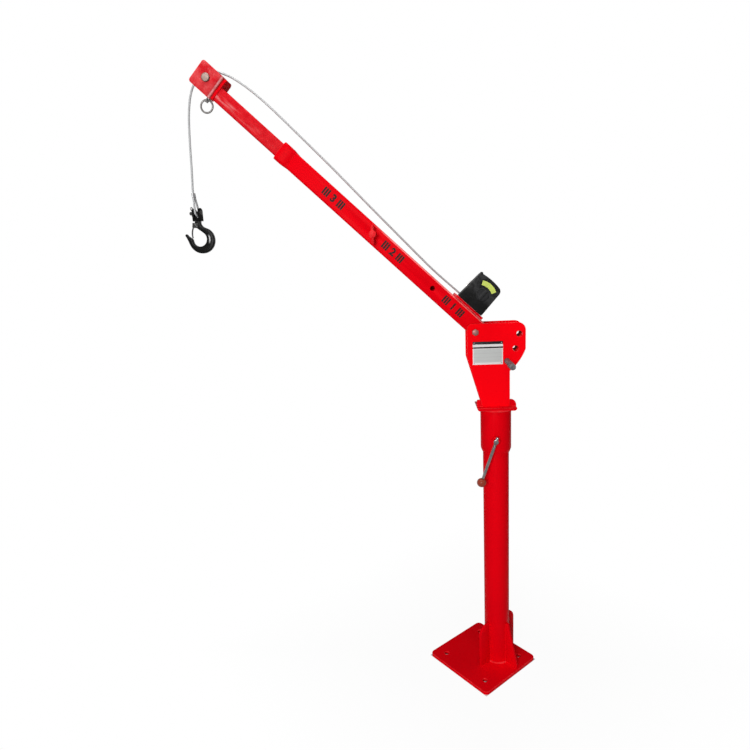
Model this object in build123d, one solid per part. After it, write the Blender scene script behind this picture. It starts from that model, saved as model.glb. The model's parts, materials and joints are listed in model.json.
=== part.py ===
"""Pickup truck crane: a bolted-down mast, a swivelling head, a luffing and telescoping box boom,
an electric winch and a hook on wire rope.

Millimetres, +Z up. The origin is on the mast's axis at the base plate's underside, and the boom lies in
the XZ plane, reaching towards -X. The near side is -Y. Boom pieces are drawn in the boom's own frame:
x along the boom from the pivot's foot, y towards the near side, z away from the boom's axis.
"""
import math
import os

from build123d import *

# Base plate, mast and gussets
PLATE_SIDE = 237.0
PLATE_THICK = 10.0
PLATE_CORNER = 14.0
PLATE_TURN = 43.0          # the plate's turn about Z against the boom
MAST_OFFSET = 33.0         # mast axis from the plate's centre, along both of its sides
BOLT_PITCH = 162.0
BOLT_HOLE_D = 14.0
MAST_D = 76.0
MAST_WALL = 5.0
MAST_LENGTH = 816.0
MAST_CAP_THICK = 5.0
WASHER_THICK = 5.0
WASHER_RIM = 2.0           # thrust washer's edge inside the mast's
GUSSET_THICK = 8.0
GUSSET_REACH = 42.0        # beyond the mast's wall
GUSSET_HEIGHT = 135.0
GUSSET_ROUND = 30.0
GUSSET_TOE = 8.0

# Swivelling sleeve, flange and lock lever
BUSH_WALL = 2.45
BUSH_LENGTH = 30.0
SLEEVE_WALL = 4.0
SLEEVE_LENGTH = 130.5
SLEEVE_BEVEL = 10.0
RUNNING_GAP = 0.05         # radial clearance of a turning fit
SEAT_GAP = 0.3             # clearance between pieces that move past each other
FLANGE_BACK = 55.5
FLANGE_FRONT = -57.0
FLANGE_WIDTH = 89.0
FLANGE_THICK = 9.0
FLANGE_ROUND = 8.0
STRAP_HEIGHT = 21.0
STRAP_THICK = 6.0
STRAP_FRONT_ROUND = 4.0
STRAP_BACK_ROUND = 16.0
LOCK_RISE = 44.5           # lock screw above the sleeve's lower end
LOCK_TURN = -6.7
LOCK_SCREW_D = 12.0
LOCK_BOSS_AF = 22.0
LOCK_BOSS_LENGTH = 12.0
LOCK_HEAD_D = 14.0
LOCK_HEAD_LENGTH = 12.0
LEVER_D = 8.0
LEVER_LENGTH = 132.0
LEVER_STUB = 14.0
LEVER_LEAN = 18.6
KNOB_D = 27.0

# Head side plates, luffing pivot and angle pin
SIDE_THICK = 6.0
SIDE_GAP = 52.0
HEAD_TOP = 243.5           # above the flange's upper face
HEAD_FRONT = -83.0
HEAD_BACK = 80.5
HEAD_FOOT_FRONT = -40.5
HEAD_FOOT_BACK = 36.5
HEAD_KNEE = 98.5           # lower end of the front edge, below the top
HEAD_FRONT_ROUND = 15.0
HEAD_BACK_ROUND = 22.0
HEAD_RIM = 26.5            # rim outside the row of locking holes
PIVOT_IN = 23.2            # pivot behind the front edge
PIVOT_DOWN = 24.0          # pivot below the top edge
PIVOT_D = 12.0
PIVOT_HEAD_AF = 17.0
PIVOT_HEAD = 8.0
PIVOT_NUT = 10.5
PIVOT_BUSH_WALL = 4.0
LUFF_ANGLE = 44.0
LUFF_STEP = 20.0
LOCK_RADIUS = 123.0        # locking holes from the pivot
ANGLE_PIN_D = 16.0
PIN_GAP = 0.3              # radial clearance of a locking pin in its hole
PIN_NOSE = 8.0             # angle pin standing out of the far side when home
ANGLE_HEAD_D = 17.2
ANGLE_HEAD = 33.0
PIN_HEAD_D = 20.0
PIN_HEAD = 16.0
PIN_BAR_D = 8.0
PIN_BAR = 50.0
RATING_WIDTH = 84.5
RATING_HEIGHT = 66.0
RATING_THICK = 1.0
RATING_IN = 15.5           # from the front edge
RATING_DOWN = 51.5         # from the top edge

# Boom tubes
BOOM_SIZE = 50.0
BOOM_WALL = 4.0
BOOM_ROUND = 6.0
BOOM_RISE = 10.8           # boom axis above the pivot
BOOM_TAIL = 20.0           # tube beyond the locking hole
BOOM_LENGTH = 739.0        # pivot to the outer tube's end
COLLAR_MOUTH = 22.0        # collar's full size behind the tube's end
COLLAR_TAPER = 19.0
COLLAR_HEM = 0.4           # collar's wall at its thin end
COLLAR_WALL = 3.0
STEP_FIRST = 172.4         # first extension hole from the pivot
STEP = 222.8
STEP_PIN_D = 13.0
STEP_PIN_TRAVEL = 14.0     # nose of the extension pin from the outer tube's wall to home
INNER_SIZE = 41.0
INNER_WALL = 4.0
INNER_ROUND = 5.0
INNER_TAIL = 30.0          # inner tube behind its locking hole
INNER_LENGTH = 598.0

# Winch
MOUNT_THICK = 8.0
MOUNT_BACK = 15.0
MOUNT_LENGTH = 98.0
MOUNT_WIDTH = 120.0
WINCH_S = 66.0
WINCH_RISE = 43.0          # drum axis above the mounting plate
DRUM_FLANGE_D = 76.0
DRUM_FLANGE = 3.0
DRUM_WIDTH = 73.0
JOURNAL_D = 24.0
JOURNAL = 7.0
HOUSING_GAP = 5.0          # drum flange to housing
GEAR_LENGTH = 54.0
GEAR_BACK = -38.0          # gear housing's outline from the drum axis
GEAR_FRONT = 44.0
GEAR_LEAN = 4.0
GEAR_SHOULDER = 83.5
GEAR_CROWN = 4.0
GEAR_ROUND = 14.0
END_THICK = 10.0
END_HALF = 31.0
END_HEIGHT = 83.0
END_ROUND = 12.0
MOTOR_D = 56.0
MOTOR_LENGTH = 52.0
MOTOR_CAP = 10.0
MOTOR_CAP_D = 50.0
TIE_D = 8.0
TIE_SPREAD = 28.0
TIE_RISE = 34.0
CLUTCH_D = 34.0
CLUTCH_DEPTH = 6.0
CLUTCH_GRIP = 8.0
CLUTCH_GRIP_WIDTH = 9.0
CLUTCH_STEM_D = 8.0
CLUTCH_STEM = 12.0
DECAL_OUT = 51.0
DECAL_IN = 38.0
DECAL_SPAN = 56.0
DECAL_DROP = 16.0
DECAL_THICK = 0.5
MOUNT_BOLT_D = 8.0
MOUNT_BOLT_HEAD_D = 16.0
MOUNT_BOLT_HEAD = 4.0      # depth of the countersunk head
MOUNT_BOLT_GRIP = 15.0
MOUNT_BOLT_IN = 8.0        # bolt beyond the housing's inner face
MOUNT_BOLT_SPREAD = 25.0

# Boom head
END_PLATE_THICK = 6.5
END_PLATE_WIDTH = 45.0
END_PLATE_TOP = 44.0
END_PLATE_ROUND = 10.0
YOKE_GAP = 5.5
YOKE_LENGTH = 70.5
YOKE_WIDTH = 48.0
YOKE_HEIGHT = 69.5
YOKE_RISE = 9.75           # yoke's middle above the boom axis
YOKE_THICK = 5.0
YOKE_BEND = 12.0
YOKE_CORNER = 7.5
STUD_D = 18.0
STUD_HEAD_D = 26.0
STUD_HEAD = 8.0
STUD_WASHER_D = 34.0
SHEAVE_IN = 34.2           # sheave's axis behind the yoke's front edge
SHEAVE_RISE = 11.7         # sheave's axis above the boom axis
SHEAVE_RADIUS = 27.0       # at the rope's middle
SHEAVE_RIM = 30.5
SHEAVE_WIDTH = 14.0
SHEAVE_BUSH_WALL = 3.0
SHEAVE_PIN_D = 14.0
SHEAVE_PIN_HEAD_D = 23.0
SHEAVE_PIN_HEAD = 5.0
SHEAVE_NUT_AF = 22.0
SHEAVE_NUT = 11.0
SPACER_WALL = 5.0
STAPLE_WIRE = 4.0
STAPLE_SPAN = 14.0
STAPLE_IN = 8.3            # from the yoke's back
STAPLE_DROP = 11.0
RING_RADIUS = 16.8
RING_WIRE = 5.0

# Rope and its routes
ROPE_D = 6.0
WIND_RADIUS = 34.0         # outer layer's middle from the drum axis
WIND_LOOPS = 10
WIND_PITCH = 6.5
LEAD_SIDE = -33.0          # where the rope leaves the drum, along the drum
FALL_LEAN = 45.0           # rope leaving the sheave, from the vertical
LEAD_TOUCH = 25.3          # where the rope meets the sheave, from its top
# Share of the way from the drum to the sheave, side and rise
LEAD_ROUTE = [(0.072, -30.5, 40.2), (0.136, -28.4, 39.2), (0.200, -26.2, 41.6), (0.269, -23.8, 45.0),
              (0.344, -21.3, 48.5), (0.418, -18.8, 52.2), (0.493, -16.2, 56.5), (0.567, -13.7, 60.6),
              (0.642, -11.2, 63.4), (0.716, -8.6, 65.9), (0.791, -6.1, 68.5), (0.849, -4.1, 69.1),
              (0.897, -2.5, 66.7), (0.940, -1.0, 61.3), (0.972, 0.0, 54.0)]
# X and Z from the sheave's axis
FALL_ROUTE = [(-35.0, 3.2), (-46.6, -11.2), (-53.8, -26.5), (-59.5, -44.0), (-64.0, -65.0),
              (-67.6, -88.0), (-70.1, -118.0), (-72.0, -148.0), (-73.4, -178.0), (-74.6, -210.0),
              (-75.9, -240.0), (-77.4, -265.0), (-78.9, -284.5), (-78.0, -293.1)]

# Rope eye, jaw and hook
FERRULE_LENGTH = 12.0
FERRULE_WIDE = 14.5
FERRULE_THICK = 9.0
EYE_RADIUS = 9.5
EYE_LENGTH = 43.3          # ferrule to the jaw's pin
EYE_STRANDS = 6.5
EYE_TILT = 6.0             # eye's lean from the vertical, its top towards the boom's end
JAW_TURN = -15.0           # jaw's and eye's turn about the vertical
JAW_WIDTH = 26.0
JAW_EAR = 6.0
JAW_DEEP = 18.0
JAW_BRIDGE = 7.0
JAW_DROP = 23.0            # pin to the bridge's underside
JAW_RISE = 13.5            # ears above the pin
JAW_PIN_D = 10.0
JAW_PIN_HEAD_D = 13.0
JAW_PIN_HEAD = 1.5
JAW_PIN_END = 11.0
COTTER_D = 3.0
COTTER_LENGTH = 20.0
COTTER_EYE = 4.0
NECK_D = 10.0
NECK_BUTTON_D = 13.4
NECK_BUTTON = 3.0
HOOK_THICK = 13.0
HOOK_EDGE = 3.0
HOOK_TIP_ROUND = 2.5
HOOK_DROP = 74.0           # jaw's pin to the throat's middle
THROAT_RADIUS = 21.3
THROAT_MID = (0.6, 1.2)
BOWL_RADIUS = 38.0
BOWL_MID = (6.6, -2.0)
HOOK_SHOULDER = 41.0       # where the arm leaves the neck
HOOK_BACK = [(15.0, 34.8), (26.0, 29.5), (34.5, 23.5)]
HOOK_MOUTH = [(11.5, 19.4), (5.5, 24.2), (-1.5, 29.4)]
HOOK_LIP = (-33.7, -4.0)   # outer and inner sides of the point's root
HOOK_HEEL = (-29.5, 9.0)
HOOK_TIP = (-42.0, 13.0)   # outer and inner ends of the point
HOOK_POINT = (-37.0, 18.5)
LATCH_SHEET = 1.5
LATCH_PIN_D = 4.0
LATCH_PIVOT = (-3.0, 41.0)
LATCH_LEAN = 9.0
LATCH_EAR = 4.5
LATCH_BACK = 12.0
LATCH_LENGTH = 38.5
LATCH_TONGUE = 8.0
LATCH_BOW = 3.0

SOLIDS = {}


def keep(name, *solids):
    """Files solids under a node's name."""
    SOLIDS[name] = list(solids)


def rod(start, end, diameter):
    """A round bar between two points."""
    run = Vector(*end) - Vector(*start)
    frame = Plane(origin=start, z_dir=run.normalized())
    return extrude(frame * Circle(diameter / 2), amount=run.length)


def hex_bar(start, end, across, turn=0.0):
    """A hexagonal bar between two points, by its size across flats."""
    run = Vector(*end) - Vector(*start)
    frame = Plane(origin=start, z_dir=run.normalized())
    return extrude(frame * RegularPolygon(across / math.sqrt(3), 6, rotation=turn), amount=run.length)


def box(low, high):
    """A box between its lowest and highest corners."""
    size = [b - a for a, b in zip(low, high)]
    return Pos(*low) * Box(*size, align=(Align.MIN, Align.MIN, Align.MIN))


def corners(points):
    """A flat outline from (x, y, corner radius) points."""
    face = Polygon(*[(x, y) for x, y, _ in points], align=None)
    for x, y, radius in points:
        if radius:
            face = fillet(face.vertices().sort_by_distance(Vector(x, y, 0))[0], radius)
    return face


def slab(outline, low, high):
    """An XZ outline made solid between two Y values."""
    return extrude(Plane.XZ.offset(-high) * outline, amount=high - low)


def square_tube(size, wall, radius, start, end):
    """A square tube along X with rounded edges."""
    frame = Plane.YZ.offset(start)
    hollow = size - 2 * wall
    outer = extrude(frame * RectangleRounded(size, size, radius), amount=end - start)
    inner = extrude(frame * RectangleRounded(hollow, hollow, max(radius - wall, 1.0)), amount=end - start)
    return outer - inner


def tube(points, diameter, name):
    """A rope along straight runs joined by the largest tangent arcs that the runs allow."""
    points = [Vector(*p) for p in points]
    radii = []
    for before, here, after in zip(points, points[1:], points[2:]):
        a, b = here - before, after - here
        turn = math.radians(a.get_angle(b))
        radii.append(0.45 * min(a.length, b.length) / math.tan(turn / 2))
    path = FilletPolyline(*points, radius=radii)
    solid = sweep(Plane(origin=path @ 0, z_dir=path % 0) * Circle(diameter / 2), path=path)
    share = solid.volume / (math.pi / 4 * diameter**2 * path.length)
    print(f"{name}: {path.length:.1f} mm long, volume {share:.4f} of section times length")
    return solid


def biarc(start, start_way, end, end_way):
    """Two arcs that join two points along two directions."""
    chord, both = end - start, start_way + end_way
    spread = 2 * (1 - start_way.dot(end_way))
    reach = (math.sqrt(chord.dot(both) ** 2 + spread * chord.dot(chord)) - chord.dot(both)) / spread
    knee, shin = start + start_way * reach, end - end_way * reach
    middle = (knee + shin) * 0.5
    return [TangentArc(start, middle, tangent=start_way),
            TangentArc(middle, end, tangent=(shin - knee).normalized())]


# Places that several pieces share
mast_radius = MAST_D / 2
sleeve_bore = mast_radius + RUNNING_GAP + BUSH_WALL
sleeve_radius = sleeve_bore + SLEEVE_WALL
mast_top = PLATE_THICK + MAST_LENGTH
flange_under = mast_top + MAST_CAP_THICK + WASHER_THICK
flange_top = flange_under + FLANGE_THICK
sleeve_low = flange_under - SLEEVE_LENGTH
lock_z = sleeve_low + LOCK_RISE
head_top = flange_top + HEAD_TOP
side_in = SIDE_GAP / 2
side_out = side_in + SIDE_THICK
pivot_x = HEAD_FRONT + PIVOT_IN
pivot_z = head_top - PIVOT_DOWN
luff = math.radians(LUFF_ANGLE)
along = Vector(-math.cos(luff), 0, math.sin(luff))
across = Vector(math.sin(luff), 0, math.cos(luff))
boom_foot = Vector(pivot_x, 0, pivot_z) + across * BOOM_RISE
boom_frame = Plane(origin=boom_foot, x_dir=along, z_dir=across).location
boom_half = BOOM_SIZE / 2
inner_half = INNER_SIZE / 2
mount_top = boom_half + MOUNT_THICK
drum_z = mount_top + WINCH_RISE
house_in = DRUM_WIDTH / 2 + DRUM_FLANGE + HOUSING_GAP
step_holes = [STEP_FIRST + STEP * n for n in range(3)]
inner_end = step_holes[1] - INNER_TAIL + INNER_LENGTH
plate_front = inner_end + END_PLATE_THICK
yoke_back = plate_front + YOKE_GAP
yoke_front = yoke_back + YOKE_LENGTH
sheave_s = yoke_front - SHEAVE_IN
sheave_world = boom_foot + along * sheave_s + across * SHEAVE_RISE
plate_place = Pos(0, 0, 0) * Rot(0, 0, PLATE_TURN) * Pos(-MAST_OFFSET, MAST_OFFSET, 0)


def in_boom(solid):
    """A boom piece moved from the boom's frame to its place."""
    return boom_frame * solid


# Base plate: a rounded square with a bolt hole near each corner, turned against the boom.
plate = extrude(RectangleRounded(PLATE_SIDE, PLATE_SIDE, PLATE_CORNER), amount=PLATE_THICK)
for x in (-BOLT_PITCH / 2, BOLT_PITCH / 2):
    for y in (-BOLT_PITCH / 2, BOLT_PITCH / 2):
        plate -= rod((x, y, -1), (x, y, PLATE_THICK + 1), BOLT_HOLE_D)
keep("base_plate", plate_place * plate)

# Mast: a round tube standing on the plate, closed by a cap that carries the thrust washer.
mast_solid = rod((0, 0, PLATE_THICK), (0, 0, mast_top), MAST_D)
keep("mast_tube", mast_solid - rod((0, 0, PLATE_THICK), (0, 0, mast_top), MAST_D - 2 * MAST_WALL))
keep("mast_cap", rod((0, 0, mast_top), (0, 0, mast_top + MAST_CAP_THICK), MAST_D))
keep("thrust_washer", rod((0, 0, mast_top + MAST_CAP_THICK), (0, 0, flange_under), MAST_D - 2 * WASHER_RIM))

# Gussets: two with a rounded top in one line through the mast, and a triangular one between them.
gusset_out = mast_radius + GUSSET_REACH
gusset_top = PLATE_THICK + GUSSET_HEIGHT
rounded_rib = corners([(0, PLATE_THICK, 0), (gusset_out, PLATE_THICK, 0),
                       (gusset_out, gusset_top, GUSSET_ROUND), (0, gusset_top, 0)])
pointed_rib = corners([(0, PLATE_THICK, 0), (gusset_out, PLATE_THICK, 0),
                       (gusset_out, PLATE_THICK + GUSSET_TOE, 0),
                       (mast_radius + GUSSET_TOE, gusset_top, 0), (0, gusset_top, 0)])
for name, rib, turn in (("gusset_left", rounded_rib, 180), ("gusset_back", rounded_rib, 0),
                        ("gusset_front", pointed_rib, -90)):
    gusset = slab(rib, -GUSSET_THICK / 2, GUSSET_THICK / 2)
    keep(name, Rot(0, 0, PLATE_TURN + turn) * gusset - mast_solid)

# Swivel sleeve: a tube with a bevelled lower end, running on two bushes round the mast.
sleeve_profile = Polygon((sleeve_bore, sleeve_low), (sleeve_bore + SLEEVE_WALL / 8, sleeve_low),
                         (sleeve_radius, sleeve_low + SLEEVE_BEVEL), (sleeve_radius, flange_under),
                         (sleeve_bore, flange_under), align=None)
sleeve = revolve(Plane.XZ * sleeve_profile, Axis.Z)
lock_frame = Rot(0, 0, LOCK_TURN)
screw_bore = LOCK_SCREW_D + 2 * RUNNING_GAP
keep("swivel_sleeve", sleeve - lock_frame * rod((0, 0, lock_z), (0, -sleeve_radius - 1, lock_z), screw_bore))
bushes = []
for low in (sleeve_low, mast_top - BUSH_LENGTH):
    ring = rod((0, 0, low), (0, 0, low + BUSH_LENGTH), 2 * sleeve_bore)
    bushes.append(ring - rod((0, 0, low), (0, 0, low + BUSH_LENGTH), MAST_D + 2 * RUNNING_GAP))
keep("sleeve_bushes", *bushes)

# Flange bracket: a plate on the sleeve, and a strap that stands on it inside the near side plate.
flange = corners([(FLANGE_FRONT, flange_under, FLANGE_ROUND), (FLANGE_BACK, flange_under, FLANGE_ROUND),
                  (FLANGE_BACK, flange_top, 0), (FLANGE_FRONT, flange_top, 0)])
strap_top = flange_top + STRAP_HEIGHT
strap = corners([(FLANGE_FRONT, flange_top, 0), (FLANGE_BACK, flange_top, 0),
                 (FLANGE_BACK, strap_top, STRAP_BACK_ROUND), (FLANGE_FRONT, strap_top, STRAP_FRONT_ROUND)])
keep("flange_bracket", slab(flange, -FLANGE_WIDTH / 2, FLANGE_WIDTH / 2)
     + slab(strap, -side_in, STRAP_THICK - side_in))

# Side plates: their back edge is an arc about the pivot, outside the row of locking holes.
rim_radius = LOCK_RADIUS + HEAD_RIM
rim_point = lambda x: (x, pivot_z - math.sqrt(rim_radius**2 - (x - pivot_x) ** 2))
rim_top, rim_low = rim_point(HEAD_BACK), rim_point(HEAD_FOOT_BACK)
rim_middle = rim_point((HEAD_BACK + HEAD_FOOT_BACK) / 2)
outline = make_face([
    Line((HEAD_FRONT, head_top), (HEAD_BACK, head_top)), Line((HEAD_BACK, head_top), rim_top),
    ThreePointArc(rim_top, rim_middle, rim_low), Line(rim_low, (HEAD_FOOT_BACK, flange_top)),
    Line((HEAD_FOOT_BACK, flange_top), (HEAD_FOOT_FRONT, flange_top)),
    Line((HEAD_FOOT_FRONT, flange_top), (HEAD_FRONT, head_top - HEAD_KNEE)),
    Line((HEAD_FRONT, head_top - HEAD_KNEE), (HEAD_FRONT, head_top))])
for x, radius in ((HEAD_FRONT, HEAD_FRONT_ROUND), (HEAD_BACK, HEAD_BACK_ROUND)):
    outline = fillet(outline.vertices().sort_by_distance(Vector(x, head_top, 0))[0], radius)
lock_holes = []
for n in range(3):
    angle = luff - math.radians(LUFF_STEP) * n
    lock_holes.append((pivot_x + LOCK_RADIUS * math.cos(angle), pivot_z - LOCK_RADIUS * math.sin(angle)))
for name, low in (("side_plate_near", -side_out), ("side_plate_far", side_in)):
    high = low + SIDE_THICK
    side = slab(outline, low, high)
    side -= rod((pivot_x, low - 1, pivot_z), (pivot_x, high + 1, pivot_z), PIVOT_D)
    for x, z in lock_holes:
        side -= rod((x, low - 1, z), (x, high + 1, z), ANGLE_PIN_D + 2 * PIN_GAP)
    keep(name, side)

# Pivot bolt through both plates, and its nut.
keep("pivot_bolt", rod((pivot_x, -side_out, pivot_z), (pivot_x, side_out + PIVOT_NUT + 3, pivot_z), PIVOT_D)
     + hex_bar((pivot_x, -side_out - PIVOT_HEAD, pivot_z), (pivot_x, -side_out, pivot_z), PIVOT_HEAD_AF))
nut_ends = (pivot_x, side_out, pivot_z), (pivot_x, side_out + PIVOT_NUT, pivot_z)
keep("pivot_nut", hex_bar(*nut_ends, PIVOT_HEAD_AF) - rod(*nut_ends, PIVOT_D))

# Rating plate: a bare sheet on the near side plate.
rating_x, rating_z = HEAD_FRONT + RATING_IN, head_top - RATING_DOWN
keep("rating_plate", box((rating_x, -side_out - RATING_THICK, rating_z - RATING_HEIGHT),
                         (rating_x + RATING_WIDTH, -side_out, rating_z)))

# Lock: a welded hexagonal boss, a clamp screw with a cross hole, a bent-over lever and its ball.
boss_end = -sleeve_radius - LOCK_BOSS_LENGTH
boss = hex_bar((0, -sleeve_bore, lock_z), (0, boss_end, lock_z), LOCK_BOSS_AF, 30)
boss -= rod((0, 0, lock_z - LOCK_BOSS_AF), (0, 0, lock_z + LOCK_BOSS_AF), 2 * sleeve_radius)
keep("clamp_boss", lock_frame * (boss - rod((0, 0, lock_z), (0, boss_end - 1, lock_z), screw_bore)))
head_in = boss_end - SEAT_GAP
lever_y = head_in - LOCK_HEAD_LENGTH / 2
lean = math.radians(LEVER_LEAN)
lever_way = Vector(-math.sin(lean), 0, -math.cos(lean))
lever_mid = Vector(0, lever_y, lock_z)
knob_mid = lever_mid + lever_way * LEVER_LENGTH
lever = rod(lever_mid - lever_way * LEVER_STUB, knob_mid - lever_way * (KNOB_D / 8), LEVER_D)
screw = rod((0, -mast_radius - SEAT_GAP, lock_z), (0, head_in, lock_z), LOCK_SCREW_D)
screw += rod((0, head_in, lock_z), (0, head_in - LOCK_HEAD_LENGTH, lock_z), LOCK_HEAD_D)
keep("clamp_screw", lock_frame * (screw - lever))
keep("lever_rod", lock_frame * lever)
knob_turn = Plane(origin=knob_mid, z_dir=lever_way).location
keep("ball_knob", lock_frame * (knob_turn * Sphere(KNOB_D / 2) - lever))


def locking_pin(x, tip, grip, z, diameter, head, head_d):
    """A headed locking pin along Y, drawn back to its nose in the nearer hole."""
    shank = rod((x, tip - grip, z), (x, tip, z), diameter)
    shank = chamfer(shank.edges().sort_by(Axis.Y)[-1], diameter / 8)
    return shank + rod((x, tip - grip - head, z), (x, tip - grip, z), head_d)


# Angle pin: drawn back, it stands in the near plate's lowest hole; pushed home, it goes through the boom's
# tail and the far plate.
pin_x, pin_z = lock_holes[0]
angle_grip = 2 * side_out + PIN_NOSE
keep("angle_pin", locking_pin(pin_x, -side_in, angle_grip, pin_z, ANGLE_PIN_D, ANGLE_HEAD, ANGLE_HEAD_D))

# Outer boom tube: pivot bush, locking hole in its tail, two extension holes in its near wall, and a mouth
# that flares to a collar.
tail = -LOCK_RADIUS - BOOM_TAIL
outer = square_tube(BOOM_SIZE, BOOM_WALL, BOOM_ROUND, tail, BOOM_LENGTH)
bush_d = PIVOT_D + 2 * RUNNING_GAP + 2 * PIVOT_BUSH_WALL
boom_holes = [(0, -BOOM_RISE, bush_d), (-LOCK_RADIUS, -BOOM_RISE, ANGLE_PIN_D + 2 * PIN_GAP)]
for s, t, diameter in boom_holes:
    outer -= rod((s, -boom_half - 1, t), (s, boom_half + 1, t), diameter)
step_bore = STEP_PIN_D + 2 * PIN_GAP
for s in step_holes[:2]:
    outer -= rod((s, 0, 0), (s, boom_half + 1, 0), step_bore)
keep("outer_boom", in_boom(outer))
bush_half = side_in - SEAT_GAP
bush = rod((0, -bush_half, -BOOM_RISE), (0, bush_half, -BOOM_RISE), bush_d)
bush -= rod((0, -bush_half, -BOOM_RISE), (0, bush_half, -BOOM_RISE), PIVOT_D + 2 * RUNNING_GAP)
keep("pivot_bush", in_boom(bush))
mouth_start = BOOM_LENGTH - COLLAR_MOUTH
collar_size, hem_size = BOOM_SIZE + 2 * COLLAR_WALL, BOOM_SIZE + 2 * COLLAR_HEM
collar_round = BOOM_ROUND + COLLAR_WALL
collar = square_tube(collar_size, COLLAR_WALL, collar_round, mouth_start, BOOM_LENGTH)
flare = loft([Plane.YZ.offset(mouth_start - COLLAR_TAPER) * RectangleRounded(hem_size, hem_size, BOOM_ROUND),
              Plane.YZ.offset(mouth_start) * RectangleRounded(collar_size, collar_size, collar_round)])
collar += flare - extrude(Plane.YZ.offset(mouth_start - COLLAR_TAPER - 1)
                          * RectangleRounded(BOOM_SIZE, BOOM_SIZE, BOOM_ROUND), amount=COLLAR_TAPER + 2)
keep("boom_collar", in_boom(collar))

# Extension pin: drawn back until its nose stands in the outer tube's near wall, with a bar through its head;
# pushed home, it goes through the inner tube's near wall.
step_foot = boom_foot + along * step_holes[1]
step_tip = -boom_half + BOOM_WALL
bar_y = step_tip - BOOM_WALL - STEP_PIN_TRAVEL - PIN_HEAD / 2
bar_mid, bar_half = Vector(step_foot.X, bar_y, step_foot.Z), Vector(0, 0, PIN_BAR / 2)
bar = rod(bar_mid - bar_half, bar_mid + bar_half, PIN_BAR_D)
step_grip = BOOM_WALL + STEP_PIN_TRAVEL
step_pin = locking_pin(step_foot.X, step_tip, step_grip, step_foot.Z, STEP_PIN_D, PIN_HEAD, PIN_HEAD_D)
keep("extension_pin", step_pin - bar)
keep("extension_pin_bar", bar)

# Winch mounting plate and its four bolts, which reach up into the winch's feet.
bolt_y = house_in + MOUNT_BOLT_IN
mount = box((MOUNT_BACK, -MOUNT_WIDTH / 2, boom_half),
            (MOUNT_BACK + MOUNT_LENGTH, MOUNT_WIDTH / 2, mount_top))
bolts, bolt_holes = [], []
for y in (bolt_y, -bolt_y):
    for s in (WINCH_S - MOUNT_BOLT_SPREAD, WINCH_S + MOUNT_BOLT_SPREAD):
        shank = rod((s, y, boom_half), (s, y, mount_top + MOUNT_BOLT_GRIP), MOUNT_BOLT_D)
        bolt_holes.append(shank)
        sunk = Cone(MOUNT_BOLT_HEAD_D / 2, MOUNT_BOLT_D / 2, MOUNT_BOLT_HEAD)
        bolts.append(shank + Pos(s, y, boom_half + MOUNT_BOLT_HEAD / 2) * sunk)
        mount -= bolts[-1]
keep("winch_plate", in_boom(mount))
keep("winch_bolts", *[in_boom(bolt) for bolt in bolts])

# Winch gear housing on the near side, drum support on the far side, and two tie rods between them.
shoulder = mount_top + GEAR_SHOULDER
back_foot, front_foot = (WINCH_S + GEAR_BACK, mount_top), (WINCH_S + GEAR_FRONT, mount_top)
back_top = (WINCH_S + GEAR_BACK + GEAR_LEAN, shoulder)
front_top = (WINCH_S + GEAR_FRONT - GEAR_LEAN, shoulder)
gear_outline = make_face([
    Line(back_foot, front_foot), Line(front_foot, front_top),
    ThreePointArc(front_top, (WINCH_S, shoulder + GEAR_CROWN), back_top), Line(back_top, back_foot)])
gear_outline = fillet(gear_outline.vertices().sort_by_distance(Vector(*back_top, 0))[0], GEAR_ROUND)
gear_end = house_in + GEAR_LENGTH
journal_bore = rod((WINCH_S, -house_in - JOURNAL, drum_z), (WINCH_S, house_in + JOURNAL, drum_z),
                   JOURNAL_D + 2 * RUNNING_GAP)
stem_bore = rod((WINCH_S, gear_end - CLUTCH_STEM, drum_z), (WINCH_S, gear_end + 1, drum_z),
                CLUTCH_STEM_D + 2 * RUNNING_GAP)
gear_box = slab(gear_outline, house_in, gear_end) - journal_bore - stem_bore
end_back, end_front, end_top = WINCH_S - END_HALF, WINCH_S + END_HALF, mount_top + END_HEIGHT
end_outline = corners([(end_back, mount_top, 0), (end_front, mount_top, 0),
                       (end_front, end_top, END_ROUND), (end_back, end_top, END_ROUND)])
support = slab(end_outline, -house_in - END_THICK, -house_in) - journal_bore
for hole in bolt_holes:
    gear_box -= hole
    support -= hole
keep("gear_housing", in_boom(gear_box))
keep("drum_support", in_boom(support))
motor_in = -house_in - END_THICK
motor_out = motor_in - MOTOR_LENGTH
keep("motor_housing", in_boom(rod((WINCH_S, motor_in, drum_z), (WINCH_S, motor_out, drum_z), MOTOR_D)))
motor_cap = rod((WINCH_S, motor_out, drum_z), (WINCH_S, motor_out - MOTOR_CAP, drum_z), MOTOR_CAP_D)
keep("motor_cap", in_boom(chamfer(motor_cap.edges().sort_by(Axis.Y)[0], MOTOR_CAP / 4)))
keep("tie_rods", *[in_boom(rod((s, -house_in, drum_z + TIE_RISE), (s, house_in, drum_z + TIE_RISE), TIE_D))
                   for s in (WINCH_S - TIE_SPREAD, WINCH_S + TIE_SPREAD)])

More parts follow.
